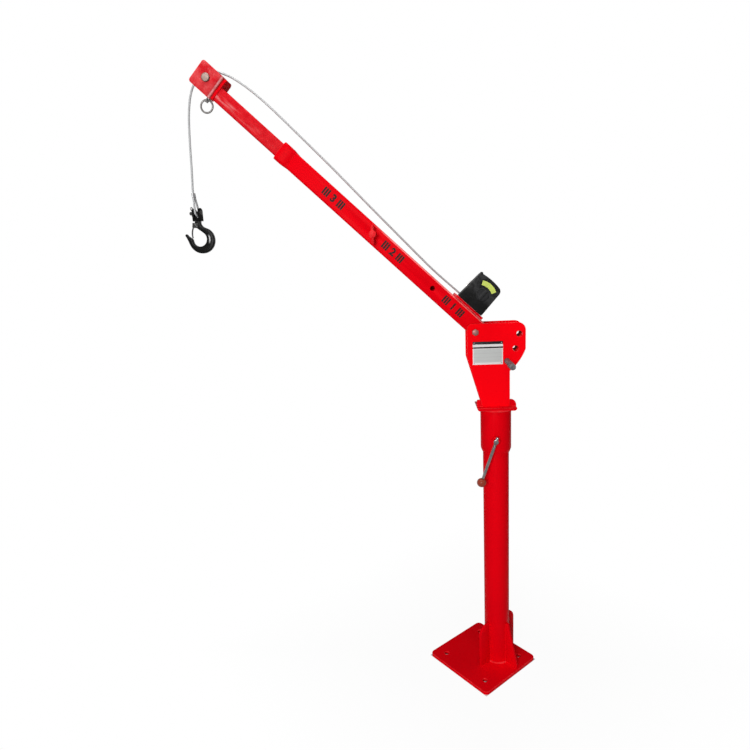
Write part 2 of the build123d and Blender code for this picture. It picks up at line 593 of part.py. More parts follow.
# Bare coloured band on the gear housing's end, and the clutch knob in the middle of it.
band = Circle(DECAL_OUT) - Circle(DECAL_IN)
spread = 2 * DECAL_OUT * math.tan(math.radians(DECAL_SPAN / 2))
band &= Polygon((0, 0), (spread, 2 * DECAL_OUT), (-spread, 2 * DECAL_OUT), align=None)
keep("winch_band", in_boom(slab(Pos(WINCH_S, drum_z - DECAL_DROP) * band, gear_end, gear_end + DECAL_THICK)))
knob_low = gear_end + DECAL_THICK + SEAT_GAP
knob = rod((WINCH_S, gear_end - CLUTCH_STEM + SEAT_GAP, drum_z), (WINCH_S, knob_low, drum_z), CLUTCH_STEM_D)
knob += rod((WINCH_S, knob_low, drum_z), (WINCH_S, knob_low + CLUTCH_DEPTH, drum_z), CLUTCH_D)
grip_half = CLUTCH_D / 2 - CLUTCH_GRIP_WIDTH / 4
knob += box((WINCH_S - CLUTCH_GRIP_WIDTH / 2, knob_low + CLUTCH_DEPTH, drum_z - grip_half),
            (WINCH_S + CLUTCH_GRIP_WIDTH / 2, knob_low + CLUTCH_DEPTH + CLUTCH_GRIP, drum_z + grip_half))
keep("clutch_knob", in_boom(knob))

# Drum: barrel with the inner layers as a plain core, two flanges and journals in the housings.
core_radius = WIND_RADIUS - ROPE_D / 2 - SEAT_GAP
flange_out = DRUM_WIDTH / 2 + DRUM_FLANGE
drum = rod((WINCH_S, -DRUM_WIDTH / 2, drum_z), (WINCH_S, DRUM_WIDTH / 2, drum_z), 2 * core_radius)
for side in (-1, 1):
    drum += rod((WINCH_S, side * DRUM_WIDTH / 2, drum_z), (WINCH_S, side * flange_out, drum_z), DRUM_FLANGE_D)
    journal_end = side * (house_in + JOURNAL - SEAT_GAP)
    drum += rod((WINCH_S, side * flange_out, drum_z), (WINCH_S, journal_end, drum_z), JOURNAL_D)
keep("drum", in_boom(drum))

# Rope's outer layer on the drum: one helix in quarter-turn biarcs, leaving along the boom, straight.
lead_start = Vector(WINCH_S + ROPE_D, LEAD_SIDE, drum_z - WIND_RADIUS)
lead_points = [Vector(lead_start.X + share * (sheave_s - lead_start.X), y, t) for share, y, t in LEAD_ROUTE]
lead_way = (lead_points[0] - lead_start).normalized()
wind_points, wind_ways = [], []
for quarter in range(4 * WIND_LOOPS + 1):
    turn = math.radians(-90 + 90 * (quarter - 4 * WIND_LOOPS))
    side = LEAD_SIDE + WIND_PITCH * (WIND_LOOPS - quarter / 4)
    across_turn = Vector(math.cos(turn), 0, math.sin(turn)) * WIND_RADIUS
    wind_points.append(Vector(WINCH_S, side, drum_z) + across_turn)
    lay = -WIND_PITCH / (2 * math.pi * WIND_RADIUS)
    wind_ways.append(Vector(-math.sin(turn), lay, math.cos(turn)).normalized())
wind_points[-1] = lead_start - lead_way * ROPE_D
wind_ways[-1] = lead_way
wind_edges = [Line(wind_points[0] - wind_ways[0] * ROPE_D, wind_points[0])]
for n in range(4 * WIND_LOOPS):
    wind_edges += biarc(wind_points[n], wind_ways[n], wind_points[n + 1], wind_ways[n + 1])
wind_edges.append(Line(wind_points[-1], lead_start))
wind_path = Wire(wind_edges)
winding = sweep(Plane(origin=wind_path @ 0, z_dir=wind_path % 0) * Circle(ROPE_D / 2), path=wind_path)
samples = [wind_path @ (n / (48 * WIND_LOOPS)) for n in range(48 * WIND_LOOPS + 1)]
least = min((a - b).length for i, a in enumerate(samples) for b in samples[i + 24:])
print(f"rope_winding: {wind_path.length:.0f} mm long, least gap to itself {least - ROPE_D:.2f} mm")
keep("rope_winding", in_boom(winding))

# Inner boom tube with the boom head's end plate.
inner_start = step_holes[1] - INNER_TAIL
inner_tube = square_tube(INNER_SIZE, INNER_WALL, INNER_ROUND, inner_start, inner_end)
for s in step_holes[1:]:
    inner_tube -= rod((s, 0, 0), (s, inner_half + 1, 0), step_bore)
keep("inner_boom", in_boom(inner_tube))
stud = rod((inner_end - STUD_HEAD, 0, 0), (inner_end, 0, 0), STUD_HEAD_D)
stud += rod((inner_end, 0, 0), (yoke_back + YOKE_THICK, 0, 0), STUD_D)
plate_half = END_PLATE_WIDTH / 2
plate_outline = corners([(-plate_half, -inner_half, 0), (plate_half, -inner_half, 0),
                         (plate_half, END_PLATE_TOP, END_PLATE_ROUND),
                         (-plate_half, END_PLATE_TOP, END_PLATE_ROUND)])
end_plate = extrude(Plane.YZ.offset(inner_end) * plate_outline, amount=END_PLATE_THICK)
keep("end_plate", in_boom(end_plate - stud))
keep("yoke_stud", in_boom(stud))
keep("stud_washer", in_boom(rod((plate_front, 0, 0), (yoke_back, 0, 0), STUD_WASHER_D) - stud))

# Yoke: a strap bent into a U round the sheave, held by the stud through its back.
yoke_low, yoke_high = YOKE_RISE - YOKE_HEIGHT / 2, YOKE_RISE + YOKE_HEIGHT / 2
half = YOKE_WIDTH / 2
strap_out = corners([(yoke_back, -half, YOKE_BEND), (yoke_front, -half, 0),
                     (yoke_front, half, 0), (yoke_back, half, YOKE_BEND)])
strap_back, strap_half, strap_bend = yoke_back + YOKE_THICK, half - YOKE_THICK, YOKE_BEND - YOKE_THICK
strap_in = corners([(strap_back, -strap_half, strap_bend), (yoke_front + 1, -strap_half, 0),
                    (yoke_front + 1, strap_half, 0), (strap_back, strap_half, strap_bend)])
yoke = extrude(Plane.XY.offset(yoke_low) * (strap_out - strap_in), amount=YOKE_HEIGHT)
yoke = fillet([e for e in yoke.edges().filter_by(Axis.Y) if e.center().X > yoke_front - 1], YOKE_CORNER)
yoke -= rod((sheave_s, -half - 1, SHEAVE_RISE), (sheave_s, half + 1, SHEAVE_RISE), SHEAVE_PIN_D)
keep("sheave_yoke", in_boom(yoke - stud))

# Sheave pin with its round head, its nut, and the spacers that hold the sheave in the middle.
pin = rod((sheave_s, -half - SHEAVE_NUT - 3, SHEAVE_RISE), (sheave_s, half, SHEAVE_RISE), SHEAVE_PIN_D)
head_ends = (sheave_s, half, SHEAVE_RISE), (sheave_s, half + SHEAVE_PIN_HEAD, SHEAVE_RISE)
pin_head = rod(*head_ends, SHEAVE_PIN_HEAD_D)
pin_head = fillet(pin_head.edges().sort_by(Axis.Y)[-1], SHEAVE_PIN_HEAD / 2)
keep("sheave_pin", in_boom(pin + pin_head))
pin_nut = hex_bar((sheave_s, -half - SHEAVE_NUT, SHEAVE_RISE), (sheave_s, -half, SHEAVE_RISE), SHEAVE_NUT_AF)
keep("sheave_nut", in_boom(pin_nut - pin))
spacers = []
for side in (-1, 1):
    spacer = rod((sheave_s, side * (SHEAVE_WIDTH / 2 + SEAT_GAP), SHEAVE_RISE),
                 (sheave_s, side * strap_half, SHEAVE_RISE), SHEAVE_PIN_D + 2 * SPACER_WALL)
    spacers.append(in_boom(spacer - pin))
keep("sheave_spacers", *spacers)

# Sheave: a grooved wheel turning on a bush.
groove = SHEAVE_RADIUS - ROPE_D / 2 - SEAT_GAP
bush_out = SHEAVE_PIN_D / 2 + RUNNING_GAP + SHEAVE_BUSH_WALL
rope_half = ROPE_D / 2 + SEAT_GAP
wheel_profile = make_face([
    Line((bush_out, -SHEAVE_WIDTH / 2), (SHEAVE_RIM, -SHEAVE_WIDTH / 2)),
    Line((SHEAVE_RIM, -SHEAVE_WIDTH / 2), (SHEAVE_RIM, -SHEAVE_WIDTH / 2 + 2)),
    Line((SHEAVE_RIM, -SHEAVE_WIDTH / 2 + 2), (SHEAVE_RADIUS, -rope_half)),
    ThreePointArc((SHEAVE_RADIUS, -rope_half), (groove, 0), (SHEAVE_RADIUS, rope_half)),
    Line((SHEAVE_RADIUS, rope_half), (SHEAVE_RIM, SHEAVE_WIDTH / 2 - 2)),
    Line((SHEAVE_RIM, SHEAVE_WIDTH / 2 - 2), (SHEAVE_RIM, SHEAVE_WIDTH / 2)),
    Line((SHEAVE_RIM, SHEAVE_WIDTH / 2), (bush_out, SHEAVE_WIDTH / 2)),
    Line((bush_out, SHEAVE_WIDTH / 2), (bush_out, -SHEAVE_WIDTH / 2))])
wheel = revolve(Plane.XY * wheel_profile, Axis.Y)
keep("sheave", in_boom(Pos(sheave_s, 0, SHEAVE_RISE) * wheel))
bush_ends = (sheave_s, -SHEAVE_WIDTH / 2, SHEAVE_RISE), (sheave_s, SHEAVE_WIDTH / 2, SHEAVE_RISE)
wheel_bush = rod(*bush_ends, 2 * bush_out) - rod(*bush_ends, SHEAVE_PIN_D + 2 * RUNNING_GAP)
keep("sheave_bush", in_boom(wheel_bush))

# Staple under the yoke's back, and the loose ring that hangs in it.
staple_s = yoke_back + STAPLE_IN
bow_t = yoke_low - STAPLE_DROP
staple = rod((staple_s, -STAPLE_SPAN / 2, bow_t), (staple_s, STAPLE_SPAN / 2, bow_t), STAPLE_WIRE)
for y in (-STAPLE_SPAN / 2, STAPLE_SPAN / 2):
    staple += Pos(staple_s, y, bow_t) * Sphere(STAPLE_WIRE / 2)
    staple += rod((staple_s, y, bow_t), (staple_s, y, yoke_low), STAPLE_WIRE)
keep("ring_staple", in_boom(staple))
bow_world = boom_foot + along * staple_s + across * bow_t
ring_mid = bow_world - Vector(0, 0, RING_RADIUS - RING_WIRE / 2 - STAPLE_WIRE / 2 - SEAT_GAP)
keep("hook_ring", Pos(ring_mid) * Rot(90, 0, 0) * Torus(RING_RADIUS, RING_WIRE / 2))

# Rope along the boom, slack and bowed, from the drum to the sheave.
touch_angle = math.radians(LEAD_TOUCH)
touch_way = Vector(math.sin(touch_angle), 0, math.cos(touch_angle))
lead_end = Vector(sheave_s, 0, SHEAVE_RISE) + touch_way * SHEAVE_RADIUS
keep("rope_lead", in_boom(tube([lead_start] + lead_points + [lead_end], ROPE_D, "rope_lead")))

# Rope round the sheave, on the sheave's own arc, from the lead to the fall.
fall_angle = math.radians(FALL_LEAN)
fall_start = sheave_world + Vector(-math.cos(fall_angle), 0, math.sin(fall_angle)) * SHEAVE_RADIUS
lead_end_world = (boom_frame * Pos(lead_end)).position
wrap_middle = (lead_end_world - sheave_world) + (fall_start - sheave_world)
wrap_path = ThreePointArc(lead_end_world, sheave_world + wrap_middle.normalized() * SHEAVE_RADIUS, fall_start)
wrap_section = Plane(origin=wrap_path @ 0, z_dir=wrap_path % 0) * Circle(ROPE_D / 2)
keep("rope_wrap", sweep(wrap_section, path=wrap_path))

# Rope's fall from the sheave to the ferrule, stiff and bowed outwards.
fall_points = [fall_start] + [sheave_world + Vector(x, 0, z) for x, z in FALL_ROUTE]
keep("rope_fall", tube(fall_points, ROPE_D, "rope_fall"))

# Ferrule and the eye that the rope makes round the jaw's pin, both leaning and turned a little.
rope_end = fall_points[-1]
tilt = math.radians(EYE_TILT)
hang = FERRULE_LENGTH + EYE_LENGTH
pin_mid = rope_end - Vector(-math.sin(tilt), 0, math.cos(tilt)) * hang
eye_place = Pos(pin_mid) * Rot(0, -EYE_TILT, 0) * Rot(0, 0, JAW_TURN)
ferrule = extrude(Pos(0, 0, EYE_LENGTH) * Ellipse(FERRULE_THICK / 2, FERRULE_WIDE / 2), amount=FERRULE_LENGTH)
ferrule = fillet(ferrule.edges(), FERRULE_THICK / 9)
keep("ferrule", eye_place * ferrule)
eye_mid = Vector(0, 0, EYE_RADIUS - JAW_PIN_D / 2 - ROPE_D / 2 - SEAT_GAP)
strand_top = Vector(0, EYE_STRANDS / 2, EYE_LENGTH + ROPE_D / 2 - eye_mid.Z)
strand_reach = strand_top.length
touch = math.atan2(strand_top.Z, strand_top.Y) - math.acos(EYE_RADIUS / strand_reach)
touch_point = Vector(0, math.cos(touch), math.sin(touch)) * EYE_RADIUS
mirror = lambda v: Vector(v.X, -v.Y, v.Z)
eye_path = Wire([
    Line(eye_mid + strand_top, eye_mid + touch_point),
    ThreePointArc(eye_mid + touch_point, eye_mid - Vector(0, 0, EYE_RADIUS), eye_mid + mirror(touch_point)),
    Line(eye_mid + mirror(touch_point), eye_mid + mirror(strand_top))])
eye = sweep(Plane(origin=eye_path @ 0, z_dir=eye_path % 0) * Circle(ROPE_D / 2), path=eye_path)
keep("rope_eye", eye_place * (eye - ferrule))

# Jaw: a clevis whose ears stand either side of the rope's eye, with a bridge that the hook turns in.
ear = JAW_DEEP / 2
ear_top = JAW_RISE - ear
jaw_ear = make_face([
    Line((-ear, -JAW_DROP), (ear, -JAW_DROP)), Line((ear, -JAW_DROP), (ear, ear_top)),
    ThreePointArc((ear, ear_top), (0, JAW_RISE), (-ear, ear_top)), Line((-ear, ear_top), (-ear, -JAW_DROP))])
jaw = extrude(Plane.YZ.offset(-JAW_WIDTH / 2) * jaw_ear, amount=JAW_WIDTH)
jaw -= box((-JAW_WIDTH / 2 + JAW_EAR, -JAW_DEEP, -JAW_DROP + JAW_BRIDGE),
           (JAW_WIDTH / 2 - JAW_EAR, JAW_DEEP, JAW_DEEP))
jaw -= rod((-JAW_WIDTH, 0, 0), (JAW_WIDTH, 0, 0), JAW_PIN_D)
jaw -= rod((0, 0, -JAW_DROP - 1), (0, 0, 0), NECK_D + 2 * RUNNING_GAP)
jaw_place = Pos(pin_mid) * Rot(0, 0, JAW_TURN)
keep("jaw", jaw_place * jaw)
cotter_x = -JAW_WIDTH / 2 - JAW_PIN_END / 2
cotter = rod((cotter_x, 0, -COTTER_LENGTH / 2), (cotter_x, 0, COTTER_LENGTH / 2), COTTER_D)
jaw_pin = rod((-JAW_WIDTH / 2 - JAW_PIN_END, 0, 0), (JAW_WIDTH / 2, 0, 0), JAW_PIN_D)
jaw_pin += rod((JAW_WIDTH / 2, 0, 0), (JAW_WIDTH / 2 + JAW_PIN_HEAD, 0, 0), JAW_PIN_HEAD_D)
keep("jaw_pin", jaw_place * (jaw_pin - cotter))
cotter_top = COTTER_LENGTH / 2 + COTTER_EYE - COTTER_D / 4
cotter_head = Pos(cotter_x, 0, cotter_top) * Rot(0, 90, 0) * Torus(COTTER_EYE, COTTER_D / 2)
keep("jaw_cotter", jaw_place * (cotter + cotter_head))

# Hook: a forged bowl on an offset arm, with a neck that turns in the jaw's bridge and a button above it.
hook_mid = pin_mid - Vector(0, 0, HOOK_DROP)
neck_low = HOOK_DROP - JAW_DROP - SEAT_GAP
neck_half = NECK_D / 2 + 3.3


def arc_points(mid, radius, angles):
    """Points of a circle at the given angles."""
    turns = [math.radians(a) for a in angles]
    return [(mid[0] + radius * math.cos(a), mid[1] + radius * math.sin(a)) for a in turns]


outside = [(neck_half, neck_low), (neck_half + 1.2, HOOK_SHOULDER)] + HOOK_BACK
outside += arc_points(BOWL_MID, BOWL_RADIUS, (30, 0, -30, -60, -90, -120, -150)) + [HOOK_LIP, HOOK_TIP]
inside = [HOOK_POINT, HOOK_HEEL]
inside += arc_points(THROAT_MID, THROAT_RADIUS, (180, 210, 240, 270, 300, 330, 360, 390))
inside += HOOK_MOUTH + [(-neck_half + 0.8, HOOK_SHOULDER - 4.5), (-neck_half, neck_low)]
arm = make_face([Spline(*outside), Line(HOOK_TIP, HOOK_POINT), Spline(*inside), Line(inside[-1], outside[0])])
hook = slab(arm, -HOOK_THICK / 2, HOOK_THICK / 2)
tip_edges = [e for e in hook.edges().filter_by(Axis.Y) if e.center().X < HOOK_POINT[0] + 1]
hook = fillet(tip_edges, HOOK_TIP_ROUND)
rims = hook.edges().filter_by(Axis.Y, reverse=True)
hook = fillet([e for e in rims if e.center().Z < neck_low - 0.5], HOOK_EDGE)
button_low = HOOK_DROP - JAW_DROP + JAW_BRIDGE + SEAT_GAP
hook += rod((0, 0, neck_low - 2 * HOOK_EDGE), (0, 0, button_low), NECK_D)
hook += rod((0, 0, button_low), (0, 0, button_low + NECK_BUTTON), NECK_BUTTON_D)
latch_pin_half = HOOK_THICK / 2 + SEAT_GAP + LATCH_SHEET + 1
latch_x, latch_z = LATCH_PIVOT
latch_pin = rod((latch_x, -latch_pin_half, latch_z), (latch_x, latch_pin_half, latch_z), LATCH_PIN_D)
keep("hook", Pos(hook_mid) * (hook - latch_pin))
keep("latch_pin", Pos(hook_mid) * latch_pin)

# Latch: a sprung sheet that straddles the hook's arm, with a bowed tongue to the inside of its point.
latch_in = HOOK_THICK / 2 + SEAT_GAP
latch_out = latch_in + LATCH_SHEET
latch_lean = math.radians(LATCH_LEAN)
latch_way = Vector(-math.sin(latch_lean), 0, -math.cos(latch_lean))
latch_face = Vector(-latch_way.Z, 0, latch_way.X)
latch_frame = Plane(origin=(latch_x, 0, latch_z), x_dir=latch_way, z_dir=latch_face).location
latch = box((-LATCH_EAR, -latch_out, -LATCH_BACK), (2 * LATCH_EAR, latch_out, LATCH_EAR))
latch -= box((-2 * LATCH_EAR, -latch_in, -2 * LATCH_BACK), (3 * LATCH_EAR, latch_in, 2 * LATCH_EAR))
latch += box((LATCH_EAR, -latch_out, -LATCH_BACK), (2 * LATCH_EAR, latch_out, LATCH_SHEET - LATCH_BACK))
tongue_start, tongue_mid = 2 * LATCH_EAR - LATCH_SHEET, LATCH_EAR + LATCH_LENGTH / 2
bows = [ThreePointArc((tongue_start, rise), (tongue_mid, rise - LATCH_BOW), (LATCH_LENGTH, rise))
        for rise in (-LATCH_BACK, LATCH_SHEET - LATCH_BACK)]
tongue = make_face(bows + [Line(bows[0] @ 0, bows[1] @ 0), Line(bows[0] @ 1, bows[1] @ 1)])
latch += slab(tongue, -LATCH_TONGUE / 2, LATCH_TONGUE / 2)
latch -= rod((0, -latch_out - 1, 0), (0, latch_out + 1, 0), LATCH_PIN_D + 2 * RUNNING_GAP)
keep("hook_latch", Pos(hook_mid) * (latch_frame * latch))

os.makedirs("parts", exist_ok=True)
for node, solids in SOLIDS.items():
    flat = [solid for shape in solids for solid in shape.solids()]
    export_step(flat[0] if len(flat) == 1 else Compound(children=flat), f"parts/{node}.step")
print(len(SOLIDS), "nodes")
print("sheave", sheave_world, "jaw pin", pin_mid, "hook", hook_mid, "ring bow", bow_world)
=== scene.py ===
"""Looks for a pickup truck crane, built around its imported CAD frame, in metres."""
import json
import math

import bpy
from mathutils import Matrix, Vector


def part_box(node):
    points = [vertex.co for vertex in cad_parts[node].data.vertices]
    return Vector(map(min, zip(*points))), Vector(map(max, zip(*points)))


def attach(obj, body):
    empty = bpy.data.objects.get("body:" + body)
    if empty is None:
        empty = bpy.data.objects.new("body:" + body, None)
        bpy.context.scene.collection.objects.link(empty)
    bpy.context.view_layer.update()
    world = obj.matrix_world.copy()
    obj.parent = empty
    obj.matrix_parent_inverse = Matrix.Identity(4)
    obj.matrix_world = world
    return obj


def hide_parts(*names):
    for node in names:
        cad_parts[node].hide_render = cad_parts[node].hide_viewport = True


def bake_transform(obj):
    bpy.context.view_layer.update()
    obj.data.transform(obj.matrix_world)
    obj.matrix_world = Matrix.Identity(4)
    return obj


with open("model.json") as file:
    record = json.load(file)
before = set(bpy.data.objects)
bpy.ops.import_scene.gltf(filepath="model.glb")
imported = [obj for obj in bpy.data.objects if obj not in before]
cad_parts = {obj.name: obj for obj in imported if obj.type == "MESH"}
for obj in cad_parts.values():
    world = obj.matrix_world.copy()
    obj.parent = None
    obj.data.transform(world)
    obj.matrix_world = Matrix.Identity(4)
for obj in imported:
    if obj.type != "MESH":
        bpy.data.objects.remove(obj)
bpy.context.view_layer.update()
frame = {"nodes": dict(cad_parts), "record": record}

# Base plate: a square of 10 mm steel plate with a bolt hole near each corner and its cut edges eased.
# Like all the steelwork it is sprayed with one red enamel, paler along the edges: partly thinner paint,
# partly a painted highlight.
node_body = {node: body for body, nodes in frame["record"]["behaviour"]["bodies"].items() for node in nodes}
SPECK_SCALE, BUMP_STRENGTH = 230.0, 0.6


def shader_group(name, inputs, outputs):
    """An empty shader node group with named sockets, and its input and output nodes."""
    group = bpy.data.node_groups.new(name, "ShaderNodeTree")
    for label, kind, value in inputs:
        group.interface.new_socket(label, in_out="INPUT", socket_type=kind).default_value = value
    for label, kind in outputs:
        group.interface.new_socket(label, in_out="OUTPUT", socket_type=kind)
    return group, group.nodes.new("NodeGroupInput"), group.nodes.new("NodeGroupOutput")


def feed(tree, value, socket):
    """Gives a socket either a link or a plain value."""
    if isinstance(value, bpy.types.NodeSocket):
        tree.links.new(value, socket)
    else:
        socket.default_value = value


def noise(tree, vector, scale, detail=3.0, roughness=0.5):
    """A noise texture on the given coordinates."""
    node = tree.nodes.new("ShaderNodeTexNoise")
    for label, value in (("Vector", vector), ("Scale", scale), ("Detail", detail), ("Roughness", roughness)):
        feed(tree, value, node.inputs[label])
    return node.outputs["Fac"]


def remap(tree, value, low, high, out_low, out_high):
    """A value stretched from one range to another and held inside it."""
    node = tree.nodes.new("ShaderNodeMapRange")
    for label, amount in (("Value", value), ("From Min", low), ("From Max", high), ("To Min", out_low),
                          ("To Max", out_high)):
        feed(tree, amount, node.inputs[label])
    return node.outputs["Result"]


def maths(tree, operation, first, second=0.0):
    """One sum on two values."""
    node = tree.nodes.new("ShaderNodeMath")
    node.operation = operation
    feed(tree, first, node.inputs[0])
    feed(tree, second, node.inputs[1])
    return node.outputs[0]


def mix_colour(tree, factor, first, second):
    """Two colours mixed by a factor."""
    node = tree.nodes.new("ShaderNodeMix")
    node.data_type = "RGBA"
    for socket, value in ((node.inputs[0], factor), (node.inputs[6], first), (node.inputs[7], second)):
        feed(tree, (*value, 1.0) if isinstance(value, tuple) else value, socket)
    return node.outputs[2]


# The skin of anything sprayed, plated or moulded: a fine ripple, a slow drift of tone and gloss, and specks.
skin_group, skin_in, skin_out = shader_group(
    "skin", [("Vector", "NodeSocketVector", (0, 0, 0)), ("Light", "NodeSocketColor", (1, 1, 1, 1)),
             ("Dark", "NodeSocketColor", (0, 0, 0, 1)), ("Speck", "NodeSocketColor", (0, 0, 0, 1)),
             ("Speck Share", "NodeSocketFloat", 0.3), ("Ripple Scale", "NodeSocketFloat", 400.0),
             ("Tone Scale", "NodeSocketFloat", 9.0), ("Rough Low", "NodeSocketFloat", 0.2),
             ("Rough High", "NodeSocketFloat", 0.3)],
    [("Color", "NodeSocketColor"), ("Roughness", "NodeSocketFloat"), ("Height", "NodeSocketFloat")])
skin_place = skin_in.outputs["Vector"]
tone = noise(skin_group, skin_place, skin_in.outputs["Tone Scale"], 5.0, 0.6)
tone_colour = mix_colour(skin_group, remap(skin_group, tone, 0.35, 0.65, 0.0, 1.0),
                         skin_in.outputs["Dark"], skin_in.outputs["Light"])
specks = remap(skin_group, noise(skin_group, skin_place, SPECK_SCALE, 2.0), 0.62, 0.72,
               0.0, skin_in.outputs["Speck Share"])
speck_colour = mix_colour(skin_group, specks, tone_colour, skin_in.outputs["Speck"])
gloss = remap(skin_group, tone, 0.3, 0.7, skin_in.outputs["Rough High"], skin_in.outputs["Rough Low"])
ripple = noise(skin_group, skin_place, skin_in.outputs["Ripple Scale"], 2.0)
for label, value in (("Color", speck_colour), ("Roughness", gloss), ("Height", ripple)):
    skin_group.links.new(value, skin_out.inputs[label])


def finish_of(name, light, dark, speck, ripple_scale, tone_scale, rough, bump, metallic=0.0, specular=0.5,
              speck_share=0.3):
    """A material with the skin group: two tones and specks, a ripple and a range of gloss."""
    material = bpy.data.materials.new(name)
    material.use_nodes = True
    tree = material.node_tree
    shader = tree.nodes["Principled BSDF"]
    shader.inputs["Metallic"].default_value = metallic
    shader.inputs["Specular IOR Level"].default_value = specular
    place = tree.nodes.new("ShaderNodeTexCoord")
    skin = tree.nodes.new("ShaderNodeGroup")
    skin.name, skin.node_tree = "skin", skin_group
    tree.links.new(place.outputs["Object"], skin.inputs["Vector"])
    for label, value in (("Light", (*light, 1)), ("Dark", (*dark, 1)), ("Speck", (*speck, 1)),
                         ("Speck Share", speck_share), ("Ripple Scale", ripple_scale),
                         ("Tone Scale", tone_scale), ("Rough Low", rough[0]), ("Rough High", rough[1])):
        skin.inputs[label].default_value = value
    tree.links.new(skin.outputs["Color"], shader.inputs["Base Color"])
    tree.links.new(skin.outputs["Roughness"], shader.inputs["Roughness"])
    relief = tree.nodes.new("ShaderNodeBump")
    relief.inputs["Distance"].default_value = bump
    relief.inputs["Strength"].default_value = BUMP_STRENGTH
    tree.links.new(skin.outputs["Height"], relief.inputs["Height"])
    tree.links.new(relief.outputs["Normal"], shader.inputs["Normal"])
    return material


red_enamel = finish_of("red_enamel", light=(0.75, 0.0004, 0.0053), dark=(0.70, 0.0004, 0.0053),
                       speck=(0.5, 0.001, 0.007), ripple_scale=520.0, tone_scale=7.0, rough=(0.3, 0.42),
                       bump=0.00025, specular=0.01)
# red_edge: a paler, pinker red for eased edges, weld beads and the extension pin, partly thin paint and
# partly a painted highlight.
red_edge = finish_of("red_edge", light=(0.82, 0.035, 0.040), dark=(0.73, 0.006, 0.012),
                     speck=(0.5, 0.01, 0.015), ripple_scale=520.0, tone_scale=60.0, rough=(0.3, 0.42),
                     bump=0.0001, specular=0.03)


def alone(piece):
    """Selects one piece and nothing else."""
    bpy.ops.object.select_all(action="DESELECT")
    piece.select_set(True)
    bpy.context.view_layer.objects.active = piece


def settle(piece, name, materials, body, matrix=None, smooth=30.0, stands_for=()):
    """Finishes a piece: its place goes into its mesh, then it gets shading, materials and body."""
    alone(piece)
    piece.name = piece.data.name = name
    bpy.ops.object.transform_apply(location=True, rotation=True, scale=True)
    if matrix is not None:
        piece.data.transform(matrix)
    bpy.ops.object.shade_smooth_by_angle(angle=math.radians(smooth))
    piece.data.materials.clear()
    for material in materials:
        piece.data.materials.append(material)
    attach(piece, body)
    if stands_for:
        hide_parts(*stands_for)
    return piece


def bevelled(piece, width, segments=2, angle=40.0, edge_slot=-1):
    """Rounds a piece's sharp edges, and may give the rounded edges a material of their own."""
    alone(piece)
    edge = piece.modifiers.new("edge", "BEVEL")
    edge.width, edge.segments, edge.limit_method = width, segments, "ANGLE"
    edge.angle_limit, edge.use_clamp_overlap, edge.material = math.radians(angle), False, edge_slot
    bpy.ops.object.modifier_apply(modifier=edge.name)
    return piece


def eased(node, material, width=0.0008, segments=2, angle=40.0, edge=None, smooth=30.0):
    """A CAD node's shape with its cut edges eased, as plate and tube are before finishing."""
    piece = bpy.data.objects.new(node + "_eased", frame["nodes"][node].data.copy())
    bpy.context.scene.collection.objects.link(piece)
    alone(piece)
    bpy.ops.mesh.customdata_custom_splitnormals_clear()
    bpy.ops.object.mode_set(mode="EDIT")
    bpy.ops.mesh.select_all(action="SELECT")
    bpy.ops.mesh.remove_doubles(threshold=0.00001)
    if width:
        bpy.ops.mesh.dissolve_limited(angle_limit=math.radians(0.5))
    bpy.ops.object.mode_set(mode="OBJECT")
    materials = [material, edge] if edge else [material]
    piece.data.materials.clear()
    for each in materials:
        piece.data.materials.append(each)
    for face in piece.data.polygons:
        face.material_index = 0
    if width:
        bevelled(piece, width, segments, angle, 1 if edge else -1)
    edge_highlight = [face.material_index for face in piece.data.polygons]
    settle(piece, node + "_eased", materials, node_body[node], smooth=smooth, stands_for=(node,))
    for face, index in zip(piece.data.polygons, edge_highlight):
        face.material_index = index
    return piece


eased("base_plate", red_enamel, width=0.0012, edge=red_edge, smooth=20.0)

# Mast: a round steel tube standing on the plate, welded all round its foot with a rippled bead.
# The bead is painted over with the rest, in the paler edge red that is partly a painted highlight on its
# ripples.
PLATE_TOP, MAST_RADIUS, MAST_BEAD = 0.010, 0.038, 0.0034
BEAD_FLAT, BEAD_PITCH = 0.7, 0.8


def weld_ripple(size):
    """One ripple of a weld bead: a low-sided ball, flattened along the bead's run in Y."""
    bpy.ops.object.select_all(action="DESELECT")
    bpy.ops.mesh.primitive_uv_sphere_add(segments=8, ring_count=5, radius=size)
    bead = bpy.context.object
    bead.scale = (1.0, BEAD_FLAT, 1.0)
    bpy.ops.object.transform_apply(scale=True)
    return bead


def repeated(piece, count, step=(0, 0, 0), turn=None):
    """A piece repeated along a step, or round Z by a turn."""
    alone(piece)
    row = piece.modifiers.new("row", "ARRAY")
    row.count, row.use_relative_offset = count, False
    pivot = bpy.data.objects.new("turn", None)
    bpy.context.scene.collection.objects.link(pivot)
    if turn is None:
        row.use_constant_offset, row.constant_offset_displace = True, step
    else:
        pivot.rotation_euler = (0, 0, turn)
        row.use_object_offset, row.offset_object = True, pivot
    bpy.context.view_layer.update()
    bpy.ops.object.modifier_apply(modifier=row.name)
    bpy.data.objects.remove(pivot)
    return piece


def weld_ring(name, radius, height, size, body):
    """A bead round a tube that stands on the mast's axis."""
    count = int(2 * math.pi * radius / (size * BEAD_PITCH))
    bead = weld_ripple(size)
    bead.data.transform(Matrix.Translation((radius, 0, height)))
    repeated(bead, count, turn=2 * math.pi / count)
    return settle(bead, name, [red_edge], body, smooth=60.0)


